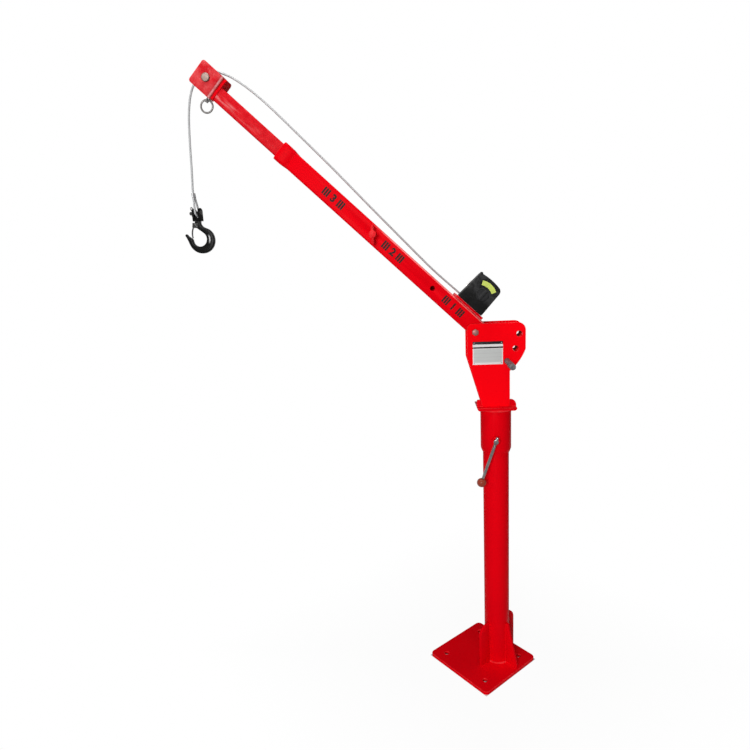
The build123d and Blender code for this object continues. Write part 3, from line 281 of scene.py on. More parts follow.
def weld_line(name, start, end, size, body, matrix=None):
    """A straight bead between two points."""
    start, run = Vector(start), Vector(end) - Vector(start)
    count = max(int(run.length / (size * BEAD_PITCH)), 2)
    bead = repeated(weld_ripple(size), count, step=(0, run.length / (count - 1), 0))
    turn = Vector((0, 1, 0)).rotation_difference(run).to_matrix().to_4x4()
    bead.data.transform(Matrix.Translation(start) @ turn)
    return settle(bead, name, [red_enamel], body, matrix, smooth=60.0)


eased("mast_tube", red_enamel)
weld_ring("mast_foot_weld", MAST_RADIUS + 0.001, PLATE_TOP + 0.0008, MAST_BEAD, "mast")

# Gussets: 8 mm plate, two with a rounded top and one triangular, standing against the mast.
# Each is welded down both sides, to the plate and to the mast.
PLATE_TURN, GUSSET_HALF, GUSSET_TOP, GUSSET_END = math.radians(43.0), 0.004, 0.145, 0.077
PLATE_BEAD, BEAD_PROUD, BEAD_START = 0.0026, 0.0006, 0.004
for label, turn in (("left", math.pi), ("back", 0.0), ("front", -math.pi / 2)):
    eased("gusset_" + label, red_enamel, width=0.001)
    spin = Matrix.Rotation(PLATE_TURN + turn, 4, "Z")
    foot, side = PLATE_TOP + BEAD_PROUD, MAST_RADIUS - 0.0001
    for hand, y in (("first", -GUSSET_HALF - BEAD_PROUD), ("second", GUSSET_HALF + BEAD_PROUD)):
        weld_line(f"gusset_{label}_foot_weld_{hand}", (MAST_RADIUS + BEAD_START, y, foot),
                  (GUSSET_END, y, foot), PLATE_BEAD, "mast", spin)
        weld_line(f"gusset_{label}_side_weld_{hand}", (side, y, PLATE_TOP + BEAD_START),
                  (side, y, GUSSET_TOP - 0.002), PLATE_BEAD, "mast", spin)

# Mast cap and thrust washer: a steel disc closes the mast, and a bronze disc on it carries the head.
# Both are turned on a lathe and hidden inside the sleeve.
zinc = finish_of("zinc_steel", light=(0.32, 0.31, 0.30), dark=(0.18, 0.17, 0.17), speck=(0.08, 0.07, 0.07),
                 ripple_scale=900.0, tone_scale=60.0, rough=(0.3, 0.45), bump=0.00012, metallic=1.0)
bronze = finish_of("bronze", light=(0.62, 0.40, 0.16), dark=(0.48, 0.29, 0.10), speck=(0.2, 0.12, 0.05),
                   ripple_scale=700.0, tone_scale=40.0, rough=(0.3, 0.5), bump=0.0001, metallic=1.0)
eased("mast_cap", zinc, width=0.0006)
eased("thrust_washer", bronze, width=0.0005)

# Swivel sleeve: a tube with a bevelled lower end that turns on two bronze bushes round the mast's top.
# The flange is welded on above it.
SLEEVE_RADIUS, SLEEVE_BEAD, FLANGE_UNDER, FLANGE_TOP = 0.0445, 0.003, 0.836, 0.845
eased("swivel_sleeve", red_enamel, width=0.0006)
eased("sleeve_bushes", bronze, width=0.0004)
weld_ring("sleeve_weld", SLEEVE_RADIUS + 0.001, FLANGE_UNDER - 0.001, SLEEVE_BEAD, "head")

# Flange and side plates: a plate on the sleeve with a strap standing on it, and two side plates on the same
# plate. The side plates carry the boom's pivot and a row of locking holes. They are welded along their feet.
# They are a brighter red than the rest as painted light, and inside a dark brown is painted round the holes
# as painted shade.
SIDE_OUT, SIDE_IN, FOOT_FRONT, FOOT_BACK, FOOT_END = 0.032, 0.026, -0.0405, 0.0365, 0.002
PIVOT, LOCK_RADIUS, LOCK_ANGLES = Vector((-0.0598, 0.0, 1.0645)), 0.123, (44.0, 24.0, 4.0)
HOLE_SHADE_FULL, HOLE_SHADE_END, HOLE_SHADE_BROWN = 0.013, 0.018, (0.045, 0.018, 0.013)


def copy_of(material, name):
    """A copy of a material under a name of its own, and the copy's node tree."""
    twin = material.copy()
    twin.name = name
    return twin, twin.node_tree


def object_place(tree):
    """The Object coordinates that a material's skin lies on."""
    return next(node for node in tree.nodes if node.type == "TEX_COORD").outputs["Object"]


def overpaint(tree, mask, colour):
    """Lays a colour over a material's skin where a mask is 1."""
    shown = mix_colour(tree, mask, tree.nodes["skin"].outputs["Color"], colour)
    tree.links.new(shown, tree.nodes["Principled BSDF"].inputs["Base Color"])


# A brighter copy of the red enamel for the side plates: painted light, for the stronger light that falls on
# them.
brighter_lit_red = finish_of("brighter_lit_red", light=(0.98, 0.0005, 0.005), dark=(0.93, 0.0005, 0.005),
                     speck=(0.75, 0.001, 0.006), ripple_scale=520.0, tone_scale=7.0, rough=(0.3, 0.42),
                     bump=0.00025, specular=0.01)
# Painted shade: the inner faces of the side plates darken to brown round the locking holes, where the
# boxed-in plates fall into shadow.
hole_shade_red, tree = copy_of(brighter_lit_red, "hole_shade_red")
flat = tree.nodes.new("ShaderNodeVectorMath")
flat.operation = "MULTIPLY"
flat.inputs[1].default_value = (1, 0, 1)
tree.links.new(object_place(tree), flat.inputs[0])
hole_shade_mask = 0.0
for angle in LOCK_ANGLES:
    reach = tree.nodes.new("ShaderNodeVectorMath")
    reach.operation = "DISTANCE"
    turn = Matrix.Rotation(math.radians(angle), 4, "Y")
    reach.inputs[1].default_value = PIVOT + turn @ Vector((LOCK_RADIUS, 0, 0))
    tree.links.new(flat.outputs["Vector"], reach.inputs[0])
    ring = remap(tree, reach.outputs["Value"], HOLE_SHADE_FULL, HOLE_SHADE_END, 1.0, 0.0)
    hole_shade_mask = maths(tree, "MAXIMUM", hole_shade_mask, ring)
overpaint(tree, hole_shade_mask, HOLE_SHADE_BROWN)
eased("flange_bracket", red_enamel, width=0.0012, edge=red_edge)
for label, out, feet in (("near", -1, ("outer",)), ("far", 1, ("outer", "inner"))):
    plate = eased("side_plate_" + label, brighter_lit_red, width=0.0009, edge=red_edge, smooth=20.0)
    plate.data.materials.append(hole_shade_red)
    for face in plate.data.polygons:
        if face.normal.y * out < -0.9:
            face.material_index = 2
    for hand in feet:
        y = out * (SIDE_OUT + 0.0005 if hand == "outer" else SIDE_IN - 0.0005)
        foot = FLANGE_TOP + BEAD_PROUD
        weld_line(f"side_plate_{label}_{hand}_weld", (FOOT_FRONT + FOOT_END, y, foot),
                  (FOOT_BACK - FOOT_END, y, foot), PLATE_BEAD, "head")

# Pivot bolt: a plated M12 bolt through both side plates, with its nut behind.
# The boom's bush turns on it.
# The plated grey is tinted red: a painted reflection of the red plates round the bolt.
bolt_steel = finish_of("bolt_steel", light=(0.26, 0.125, 0.115), dark=(0.19, 0.085, 0.080),
                       speck=(0.12, 0.05, 0.05), ripple_scale=900.0, tone_scale=80.0, rough=(0.42, 0.55),
                       bump=0.00015, metallic=1.0)
eased("pivot_bolt", bolt_steel, width=0.0009)
eased("pivot_nut", bolt_steel, width=0.0008)

# Rating plate: a thin sheet of aluminium held by four rivets, printed with a dark heading and a grey panel.
# It carries no words.
RATING_LOW, RATING_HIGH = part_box("rating_plate")
RIVET_IN, RIVET_RADIUS, RIVET_HIGH = 0.004, 0.0016, 0.0008
FULL_WIDTH, PANEL_MARGIN, PANEL_LINE = -0.001, 0.003, (0.42, 0.42, 0.42)
PRINT_ROWS = (
    (FULL_WIDTH, -0.001, 0.0078, (0.010, 0.008, 0.009)), (FULL_WIDTH, 0.0150, 0.0195, (0.020, 0.016, 0.017)),
    (PANEL_MARGIN, 0.0215, 0.0600, (0.52, 0.53, 0.52)), (PANEL_MARGIN, 0.0330, 0.0336, PANEL_LINE),
    (PANEL_MARGIN, 0.0440, 0.0446, PANEL_LINE), (PANEL_MARGIN, 0.0540, 0.0546, PANEL_LINE))


def axes_of(tree, vector):
    """The X, Y and Z of a vector."""
    node = tree.nodes.new("ShaderNodeSeparateXYZ")
    tree.links.new(vector, node.inputs[0])
    return node.outputs


def band(tree, value, low, high):
    """1 where a value lies between two limits, otherwise 0."""
    above, below = maths(tree, "GREATER_THAN", value, low), maths(tree, "LESS_THAN", value, high)
    return maths(tree, "MULTIPLY", above, below)


rating_print = finish_of("rating_print", light=(0.80, 0.76, 0.76), dark=(0.72, 0.68, 0.68),
                         speck=(0.6, 0.56, 0.56), ripple_scale=800.0, tone_scale=30.0, rough=(0.35, 0.5),
                         bump=0.00008, specular=0.1)
tree = rating_print.node_tree
print_colour = tree.nodes["skin"].outputs["Color"]
axes = axes_of(tree, object_place(tree))
for margin, low, high, colour in PRINT_ROWS:
    inside = band(tree, axes[0], RATING_LOW.x + margin, RATING_HIGH.x - margin)
    row = band(tree, axes[2], RATING_HIGH.z - high, RATING_HIGH.z - low)
    print_colour = mix_colour(tree, maths(tree, "MULTIPLY", row, inside), print_colour, colour)
tree.links.new(print_colour, tree.nodes["Principled BSDF"].inputs["Base Color"])
eased("rating_plate", rating_print, width=0.0003)


def dome(radius, height):
    """A dome head on the XZ plane that faces -Y: half a ball, flattened."""
    bpy.ops.object.select_all(action="DESELECT")
    bpy.ops.mesh.primitive_uv_sphere_add(segments=20, ring_count=12, radius=radius)
    head = bpy.context.object
    bpy.ops.object.mode_set(mode="EDIT")
    bpy.ops.mesh.select_all(action="SELECT")
    bpy.ops.mesh.bisect(plane_co=(0, 0, 0), plane_no=(0, 1, 0), use_fill=True, clear_outer=True)
    bpy.ops.mesh.select_all(action="SELECT")
    bpy.ops.transform.resize(value=(1.0, height / radius, 1.0), center_override=(0, 0, 0))
    bpy.ops.object.mode_set(mode="OBJECT")
    return head


for column, x in (("front", RATING_LOW.x + RIVET_IN), ("back", RATING_HIGH.x - RIVET_IN)):
    for row, z in (("low", RATING_LOW.z + RIVET_IN), ("high", RATING_HIGH.z - RIVET_IN)):
        settle(dome(RIVET_RADIUS, RIVET_HIGH), f"rating_rivet_{column}_{row}", [zinc], "head",
               Matrix.Translation((x, RATING_LOW.y, z)))

# Swivel lock: a steel boss welded to the sleeve, and a screw through it that presses on the mast.
# The screw is turned by a bright lever with a brown ball moulded on its end.
ball_brown = finish_of("brown_plastic", light=(0.28, 0.045, 0.022), dark=(0.21, 0.030, 0.015),
                       speck=(0.3, 0.10, 0.06), ripple_scale=200.0, tone_scale=45.0, rough=(0.2, 0.32),
                       bump=0.0001, specular=0.12)
dark_chrome = finish_of("dark_chrome", light=(0.20, 0.19, 0.19), dark=(0.11, 0.10, 0.10),
                        speck=(0.05, 0.05, 0.05), ripple_scale=900.0, tone_scale=40.0, rough=(0.14, 0.24),
                        bump=0.00008, metallic=1.0)
eased("clamp_boss", red_enamel, width=0.0008)
eased("clamp_screw", dark_chrome, width=0.0008)
eased("lever_rod", dark_chrome, width=0.001)
eased("ball_knob", ball_brown, width=0.0004)

# Angle pin: a plain pin of dull steel with a thicker end, drawn back in the plates' lowest locking hole.
# Pushed home, it holds the boom at one of three angles.
pin_grey = finish_of("pin_grey", light=(0.17, 0.150, 0.155), dark=(0.07, 0.060, 0.064),
                     speck=(0.04, 0.03, 0.03), ripple_scale=900.0, tone_scale=110.0, rough=(0.4, 0.55),
                     bump=0.00015, metallic=0.2, specular=0.3)
eased("angle_pin", pin_grey, width=0.0012)

# Outer boom: a square tube with a bush across it for the pivot, two locking holes in its near wall and a
# collar that its mouth is flared into. A pale pink band along its upper edge next to the winch is a
# painted highlight, and plain position marks are painted on its near side in black.
LUFF = math.radians(44.0)
BOOM_HALF, BOOM_RISE = 0.025, 0.0108
HIGHLIGHT_TOP, HIGHLIGHT_LOW, HIGHLIGHT_FADE, HIGHLIGHT_END, HIGHLIGHT_PINK = 0.0006, 0.0044, 0.34, 0.42, (0.95, 0.20, 0.20)
MARK_HEIGHT, MARK_WEIGHT, INK_LIFT, CAPITAL_SHARE = 0.021, 0.0013, 0.00008, 0.72
MARK_PLACES = (("1", 0.095), ("2", 0.323), ("3", 0.543))
along, across = Vector((-math.cos(LUFF), 0, math.sin(LUFF))), Vector((math.sin(LUFF), 0, math.cos(LUFF)))
boom_place = Matrix((along, (0, -1, 0), across)).transposed().to_4x4()
boom_place.translation = PIVOT + across * BOOM_RISE


def boom_axes(tree):
    """The boom's own place in a material, and its axes: X along it from its foot, Z down from its middle."""
    turn = tree.nodes.new("ShaderNodeMapping")
    rotation = Matrix.Rotation(math.pi - LUFF, 3, "Y")
    turn.inputs["Rotation"].default_value = (0, math.pi - LUFF, 0)
    turn.inputs["Location"].default_value = -(rotation @ boom_place.translation)
    tree.links.new(object_place(tree), turn.inputs["Vector"])
    return turn.outputs["Vector"], axes_of(tree, turn.outputs["Vector"])


boom_red, tree = copy_of(red_enamel, "boom_red")
boom_vector, axes = boom_axes(tree)
# Painted highlight: a pale pink band along the boom's rounded upper edge, fading out towards the head.
edge_highlight = maths(tree, "MULTIPLY", band(tree, axes[2], -BOOM_HALF + HIGHLIGHT_TOP, -BOOM_HALF + HIGHLIGHT_LOW),
             remap(tree, axes[0], HIGHLIGHT_FADE, HIGHLIGHT_END, 1.0, 0.0))
edge_highlight = maths(tree, "MULTIPLY", edge_highlight, remap(tree, noise(tree, boom_vector, 60.0), 0.3, 0.55, 0.5, 1.0))
overpaint(tree, edge_highlight, HIGHLIGHT_PINK)
eased("outer_boom", boom_red, width=0.0006)
eased("pivot_bush", bronze, width=0.0004)
eased("boom_collar", red_enamel, width=0.0007, edge=red_edge)
black_ink = finish_of("black_ink", light=(0.012, 0.008, 0.008), dark=(0.05, 0.012, 0.012),
                      speck=(0.35, 0.006, 0.01), ripple_scale=600.0, tone_scale=150.0, rough=(0.45, 0.6),
                      bump=0.00005, specular=0.08, speck_share=0.7)
for number, s in MARK_PLACES:
    bpy.ops.object.select_all(action="DESELECT")
    bpy.ops.object.text_add()
    mark = bpy.context.object
    mark.data.body, mark.data.size = "III " + number + " III", MARK_HEIGHT / CAPITAL_SHARE
    mark.data.offset, mark.data.align_x, mark.data.align_y = MARK_WEIGHT, "CENTER", "CENTER"
    bpy.ops.object.convert(target="MESH")
    mark = bpy.context.object
    upright = Matrix(((-1, 0, 0, s), (0, 0, 1, BOOM_HALF + INK_LIFT), (0, 1, 0, 0), (0, 0, 0, 1)))
    settle(mark, "boom_mark_" + number, [black_ink], "boom", boom_place @ upright)

# Extension pin: a short headed pin with a cross bar for a handle, in the upper of the outer boom's two holes.
# It is painted with the boom, in the paler edge red that is partly a painted highlight; pushed home, it locks
# the inner boom at one of its holes.
eased("extension_pin", red_edge, width=0.001)
eased("extension_pin_bar", red_edge, width=0.0012, segments=3)

# Winch plate: 8 mm plate welded across the boom's top, with four countersunk bolts up into the winch's feet.
# It is painted red with the boom, and its edges are painted a pale pink as a highlight.
# A pale pink for the eased edges of the winch plate and the sheave yoke: a painted highlight.
pale_edge_highlight = finish_of("pale_edge_highlight", light=(0.80, 0.16, 0.17), dark=(0.66, 0.03, 0.05),
                        speck=(0.5, 0.25, 0.25), ripple_scale=520.0, tone_scale=90.0, rough=(0.32, 0.45),
                        bump=0.0002, specular=0.12)
eased("winch_plate", red_enamel, width=0.0014, edge=pale_edge_highlight)
eased("winch_bolts", zinc, width=0.0006)

# Winch housings: a gear housing moulded in black plastic on the near side, a plain support on the far side.
# A round motor stands on the support, and two bright rods tie both sides together. The gear housing is
# a lighter, dull grey towards its top.
HOUSE_IN, HOUSE_OUT = 0.0445, 0.0985
RIDGE_LOW, RIDGE_HIGH = (0.0985, HOUSE_IN + 0.006, 0.112), (0.1060, HOUSE_OUT - 0.004, 0.1205)
RIDGE_TAPER, RIDGE_ROUND = 0.7, 0.0012
UPPER_GREY_FROM, UPPER_GREY_TO, UPPER_GREY = 0.060, 0.074, (0.034, 0.034, 0.035)
black_plastic = finish_of("black_plastic", light=(0.011, 0.011, 0.011), dark=(0.006, 0.006, 0.006),
                          speck=(0.04, 0.04, 0.04), ripple_scale=1400.0, tone_scale=30.0, rough=(0.42, 0.6),
                          bump=0.0003, specular=0.04, speck_share=0.2)
housing_black, tree = copy_of(black_plastic, "housing_black")
boom_vector, axes = boom_axes(tree)
# The housing's colour turns a lighter grey towards its top.
height = maths(tree, "MULTIPLY", axes[2], -1.0)
upper_grey_mask = maths(tree, "MULTIPLY", remap(tree, height, UPPER_GREY_FROM, UPPER_GREY_TO, 0.0, 1.0),
              remap(tree, noise(tree, boom_vector, 55.0, 4.0, 0.6), 0.42, 0.62, 0.1, 1.0))
overpaint(tree, upper_grey_mask, UPPER_GREY)
eased("gear_housing", housing_black, width=0.003, segments=3)
eased("drum_support", black_plastic, width=0.002, segments=3)
eased("motor_housing", black_plastic, width=0.0015)
eased("motor_cap", black_plastic, width=0.0012)
eased("tie_rods", zinc, width=0.0004)


def moulded_bar(low, high, taper, round_off):
    """A moulded bar in the boom's frame, drawn in towards its top and rounded along its edges."""
    bpy.ops.object.select_all(action="DESELECT")
    bpy.ops.mesh.primitive_cube_add(size=1.0)
    bar = bpy.context.object
    middle, size = (Vector(low) + Vector(high)) / 2, Vector(high) - Vector(low)
    bar.data.transform(Matrix.Translation(middle) @ Matrix.Diagonal((*size, 1.0)))
    top = [vertex.index for vertex in bar.data.vertices if vertex.co.z > middle.z]
    bpy.ops.object.mode_set(mode="EDIT")
    bpy.ops.mesh.select_all(action="DESELECT")
    bpy.ops.object.mode_set(mode="OBJECT")
    for index in top:
        bar.data.vertices[index].select = True
    bpy.ops.object.mode_set(mode="EDIT")
    bpy.ops.transform.resize(value=(taper, taper, 1.0), center_override=(high[0], middle.y, high[2]))
    bpy.ops.mesh.select_all(action="SELECT")
    bpy.ops.mesh.bevel(offset=round_off, segments=3, affect="EDGES")
    bpy.ops.object.mode_set(mode="OBJECT")
    return bar


ridge = moulded_bar(RIDGE_LOW, RIDGE_HIGH, RIDGE_TAPER, RIDGE_ROUND)
settle(ridge, "housing_ridge", [housing_black], "boom", boom_place)

# Clutch knob: a low black moulded knob with a finger grip across it, in the middle of the housing's face.
# A yellow-green band above it is printed on the face, and left without words.
band_green = finish_of("band_green", light=(0.57, 0.66, 0.135), dark=(0.48, 0.56, 0.110),
                       speck=(0.6, 0.68, 0.25), ripple_scale=500.0, tone_scale=60.0, rough=(0.4, 0.55),
                       bump=0.00005, specular=0.06)
knob_black = finish_of("knob_black", light=(0.030, 0.030, 0.031), dark=(0.020, 0.020, 0.021),
                       speck=(0.06, 0.06, 0.06), ripple_scale=1400.0, tone_scale=30.0, rough=(0.4, 0.55),
                       bump=0.0002, specular=0.06, speck_share=0.2)
DRUM_S, DRUM_T = 0.066, 0.076
KNOB_LOW, KNOB_RADIUS, KNOB_DEPTH, KNOB_ROUND = 0.0993, 0.017, 0.006, 0.0008
RIM_SLOPE, RIM_WIDTH, RIM_RISE, FACE_SINK = 0.0014, 0.0022, 0.0008, 0.0016
GRIP_HIGH, GRIP_HALF, GRIP_LONG, GRIP_ROOT, GRIP_ROUND = 0.008, 0.0045, 0.01475, 0.003, 0.0018
bpy.ops.object.select_all(action="DESELECT")
bpy.ops.mesh.primitive_cylinder_add(vertices=64, radius=KNOB_RADIUS, depth=KNOB_DEPTH)
knob = bpy.context.object
bpy.ops.object.mode_set(mode="EDIT")
bpy.ops.mesh.select_all(action="DESELECT")
bpy.ops.object.mode_set(mode="OBJECT")
for face in knob.data.polygons:
    face.select = face.normal.z > 0.9
bpy.ops.object.mode_set(mode="EDIT")
bpy.ops.mesh.inset(thickness=RIM_SLOPE)
bpy.ops.transform.translate(value=(0, 0, RIM_RISE))
bpy.ops.mesh.inset(thickness=RIM_WIDTH)
bpy.ops.transform.translate(value=(0, 0, -FACE_SINK))
bpy.ops.object.mode_set(mode="OBJECT")
bevelled(knob, KNOB_ROUND, 3, 50.0)
knob.data.transform(Matrix.Translation((0, 0, KNOB_DEPTH / 2)))
grip = moulded_bar((-GRIP_LONG, -GRIP_HALF, KNOB_DEPTH - GRIP_ROOT),
                   (GRIP_LONG, GRIP_HALF, KNOB_DEPTH + GRIP_HIGH), 1.0, GRIP_ROUND)
bpy.ops.object.select_all(action="DESELECT")
grip.select_set(True)
knob.select_set(True)
bpy.context.view_layer.objects.active = knob
bpy.ops.object.join()
knob_turn = Matrix(((0, 1, 0, DRUM_S), (0, 0, 1, KNOB_LOW), (1, 0, 0, DRUM_T), (0, 0, 0, 1)))
settle(knob, "clutch_knob_moulding", [knob_black], "clutch", boom_place @ knob_turn,
       stands_for=("clutch_knob",))
eased("winch_band", band_green, width=0.0)

# Drum: a steel barrel between two flanges, on journals in both housings.
# It is plated, and the rope covers its barrel.
eased("drum", zinc, width=0.0006)

# Inner boom: a square tube that slides in the outer one, closed by an end plate.
# A pale streak painted along its side towards the head is a painted highlight.
STREAK_LOW, STREAK_FULL, STREAK_END, STREAK_FROM, STREAK_WHOLE = 0.004, 0.001, 0.009, 0.80, 0.90
STREAK_GRAIN, STREAK_HIGHLIGHT_PINK = (14.0, 120.0, 170.0), (0.76, 0.22, 0.22)


def away_from(tree, value, middle):
    """How far a value lies from a middle one."""
    return maths(tree, "ABSOLUTE", maths(tree, "SUBTRACT", value, middle))


# A darker copy of the red enamel: painted shade, for the shadow behind the yoke.
shaded_red = finish_of("shaded_red", light=(0.45, 0.003, 0.009), dark=(0.36, 0.003, 0.008),
                     speck=(0.3, 0.004, 0.008), ripple_scale=520.0, tone_scale=30.0, rough=(0.32, 0.45),
                     bump=0.00025, specular=0.02)
inner_red_streak_highlight = finish_of("inner_red_streak_highlight", light=(0.66, 0.014, 0.020), dark=(0.56, 0.004, 0.010),
                       speck=(0.68, 0.08, 0.085), ripple_scale=300.0, tone_scale=60.0, rough=(0.34, 0.5),
                       bump=0.0004, specular=0.02)
# Painted highlight: a grainy pale streak along the inner boom's side, from near its head.
tree = inner_red_streak_highlight.node_tree
boom_vector, axes = boom_axes(tree)
stretch = tree.nodes.new("ShaderNodeMapping")
stretch.inputs["Scale"].default_value = STREAK_GRAIN
tree.links.new(boom_vector, stretch.inputs["Vector"])
streak = remap(tree, away_from(tree, axes[2], STREAK_LOW), STREAK_FULL, STREAK_END, 1.0, 0.0)
grain = remap(tree, noise(tree, stretch.outputs["Vector"], 1.0), 0.42, 0.6, 0.0, 1.0)
streak = maths(tree, "MULTIPLY", streak, grain)
streak = maths(tree, "MULTIPLY", streak, remap(tree, axes[0], STREAK_FROM, STREAK_WHOLE, 0.0, 1.0))
overpaint(tree, streak, STREAK_HIGHLIGHT_PINK)
eased("inner_boom", inner_red_streak_highlight, width=0.0006)
eased("end_plate", red_enamel, width=0.0)

# Sheave yoke: a strap bent round the sheave, held to the end plate by a stud, with a washer between.
# A staple of round bar under it holds the stowing ring. Its paint is dull, with a pale painted highlight
# along the bend.
BEND_S, BEND_FULL, BEND_END, BEND_HIGHLIGHT_PINK = 0.978, 0.0006, 0.003, (0.95, 0.45, 0.45)
# The stud and washer are in the darker red, as painted shade.
eased("yoke_stud", shaded_red, width=0.0006)
eased("stud_washer", shaded_red, width=0.0006)
dull_red_bend_highlight = finish_of("dull_red_bend_highlight", light=(0.70, 0.070, 0.075), dark=(0.58, 0.010, 0.018),
                     speck=(0.76, 0.22, 0.22), ripple_scale=300.0, tone_scale=34.0, rough=(0.34, 0.5),
                     bump=0.0004, specular=0.02, speck_share=0.4)
# Painted highlight: a pale band across the yoke where its strap bends round.
tree = dull_red_bend_highlight.node_tree
boom_vector, axes = boom_axes(tree)
bend_highlight = remap(tree, away_from(tree, axes[0], BEND_S), BEND_FULL, BEND_END, 1.0, 0.0)
bend_highlight = maths(tree, "MULTIPLY", bend_highlight, remap(tree, noise(tree, boom_vector, 90.0), 0.35, 0.6, 0.2, 1.0))
overpaint(tree, bend_highlight, BEND_HIGHLIGHT_PINK)
eased("sheave_yoke", dull_red_bend_highlight, width=0.0010, edge=pale_edge_highlight)
dull_steel = finish_of("dull_steel", light=(0.20, 0.19, 0.185), dark=(0.11, 0.105, 0.10),
                       speck=(0.05, 0.05, 0.05), ripple_scale=900.0, tone_scale=60.0, rough=(0.4, 0.55),
                       bump=0.0001, metallic=1.0)
eased("ring_staple", dull_steel, width=0.0)
eased("hook_ring", dull_steel, width=0.0)

# Sheave: a turned steel wheel with a rope groove, on a bronze bush round its pin.
# The pin has a round head on the near side and a nut behind, and two spacers keep the wheel in the middle.
# The steel is tinted warm: a painted reflection of the red yoke round the pin.
pin_steel = finish_of("pin_steel", light=(0.21, 0.150, 0.133), dark=(0.16, 0.112, 0.098),
                      speck=(0.10, 0.07, 0.06), ripple_scale=900.0, tone_scale=80.0, rough=(0.42, 0.55),
                      bump=0.00015, metallic=1.0)
eased("sheave_pin", pin_steel, width=0.0006)
eased("sheave_nut", zinc, width=0.0008)
eased("sheave_spacers", zinc, width=0.0005)
eased("sheave", zinc, width=0.0005)
eased("sheave_bush", bronze, width=0.0003)

# Rope: 6 mm galvanised wire rope of six strands, one length from the drum over the sheave to the hook.
# The lead bows up off the boom and the fall bows out from the sheave, because the rope is stiff.
ROPE_RADIUS, LAY, STRAND_WIRES, HOLLOW_SHARE, AROUND = 0.003, 0.039, 9.0, 0.94, 24
WIRE_HOLLOW_SHADE, WIRE_DULL, WIRE_BRIGHT = (0.36, 0.36, 0.365), (0.38, 0.385, 0.39), (0.47, 0.475, 0.48)


def rope_material():
    """Dull galvanised wire: fine diagonal wires in each strand, with painted shade in the hollows between
    them.
    """
    material = bpy.data.materials.new("wire_rope")
    material.use_nodes = True
    tree = material.node_tree
    shader = tree.nodes["Principled BSDF"]
    shader.inputs["Metallic"].default_value = 0.35
    shader.inputs["Specular IOR Level"].default_value = 0.3
    place = tree.nodes.new("ShaderNodeTexCoord")
    wires = tree.nodes.new("ShaderNodeTexWave")
    wires.wave_type, wires.bands_direction = "BANDS", "DIAGONAL"
    wires.inputs["Scale"].default_value = 1.0
    tree.links.new(place.outputs["UV"], wires.inputs["Vector"])
    dust = noise(tree, place.outputs["Object"], 60.0, 4.0)
    metal = mix_colour(tree, remap(tree, dust, 0.35, 0.7, 0.0, 1.0), WIRE_DULL, WIRE_BRIGHT)
    shade = mix_colour(tree, remap(tree, wires.outputs["Fac"], 0.0, 0.6, 0.0, 1.0), WIRE_HOLLOW_SHADE, metal)
    tree.links.new(shade, shader.inputs["Base Color"])
    tree.links.new(remap(tree, dust, 0.3, 0.7, 0.42, 0.6), shader.inputs["Roughness"])
    relief = tree.nodes.new("ShaderNodeBump")
    relief.inputs["Distance"].default_value = 0.0002
    tree.links.new(wires.outputs["Fac"], relief.inputs["Height"])
    tree.links.new(relief.outputs["Normal"], shader.inputs["Normal"])
    return material


wire_rope = rope_material()


def route_line(name, points, steps):
    """The smooth line of a rope's route: the points that its NURBS spline gives."""
    curve = bpy.data.curves.new(name, "CURVE")
    curve.dimensions = "3D"
    spline = curve.splines.new("NURBS")
    spline.points.add(len(points) - 1)
    for control, point in zip(spline.points, points):
        control.co = (*point, 1.0)
    spline.order_u = 3
    spline.use_endpoint_u = True
    spline.resolution_u = curve.resolution_u = steps
    holder = bpy.data.objects.new(name, curve)
    bpy.context.scene.collection.objects.link(holder)
    bpy.context.view_layer.update()
    line = bpy.data.meshes.new_from_object(holder)
    path = [vertex.co.copy() for vertex in line.vertices]
    bpy.data.objects.remove(holder)
    bpy.data.meshes.remove(line)
    return path


def stranded(name, path):
    """Six strands laid round each other along a line, as one closed skin with a UV map along the wires."""
    strand, lay_radius, hollow = ROPE_RADIUS / 3, ROPE_RADIUS * 2 / 3, ROPE_RADIUS * HOLLOW_SHARE
    outline = []
    for step in range(AROUND):
        angle = 2 * math.pi * step / AROUND
        off = (angle + math.pi / 6) % (math.pi / 3) - math.pi / 6
        bulge = math.sqrt(max(strand**2 - (lay_radius * math.sin(off)) ** 2, 0.0))
        outline.append((angle, max(lay_radius * math.cos(off) + bulge, hollow)))
    ways = [(path[min(n + 1, len(path) - 1)] - path[max(n - 1, 0)]).normalized() for n in range(len(path))]
    side = ways[0].orthogonal().normalized()
    vertices, run, runs = [], 0.0, []
    for n, (point, way) in enumerate(zip(path, ways)):
        if n:
            side = ways[n - 1].rotation_difference(way) @ side
            run += (point - path[n - 1]).length
        side = (side - way * side.dot(way)).normalized()
        up = way.cross(side)
        twist = 2 * math.pi * run / LAY
        runs.append(run)
        for angle, reach in outline:
            vertices.append(point + (side * math.cos(angle + twist) + up * math.sin(angle + twist)) * reach)
    faces = []
    for n in range(len(path) - 1):
        here, ahead = n * AROUND, (n + 1) * AROUND
        for step in range(AROUND):
            after = (step + 1) % AROUND
            faces.append((here + step, here + after, ahead + after, ahead + step))
    last = (len(path) - 1) * AROUND
    faces += [tuple(reversed(range(AROUND))), tuple(range(last, last + AROUND))]
    mesh = bpy.data.meshes.new(name)
    mesh.from_pydata(vertices, [], faces)
    wires = mesh.uv_layers.new(name="wires")
    for face in mesh.polygons[:-2]:
        ring, step = divmod(face.index, AROUND)
        for loop, (r, a) in zip(face.loop_indices, ((0, 0), (0, 1), (1, 1), (1, 0))):
            wires.data[loop].uv = ((step + a) / AROUND * STRAND_WIRES, runs[ring + r] / LAY * STRAND_WIRES)
    rope = bpy.data.objects.new(name, mesh)
    bpy.context.scene.collection.objects.link(rope)
    alone(rope)
    bpy.ops.object.shade_smooth()
    mesh.materials.append(wire_rope)
    return rope


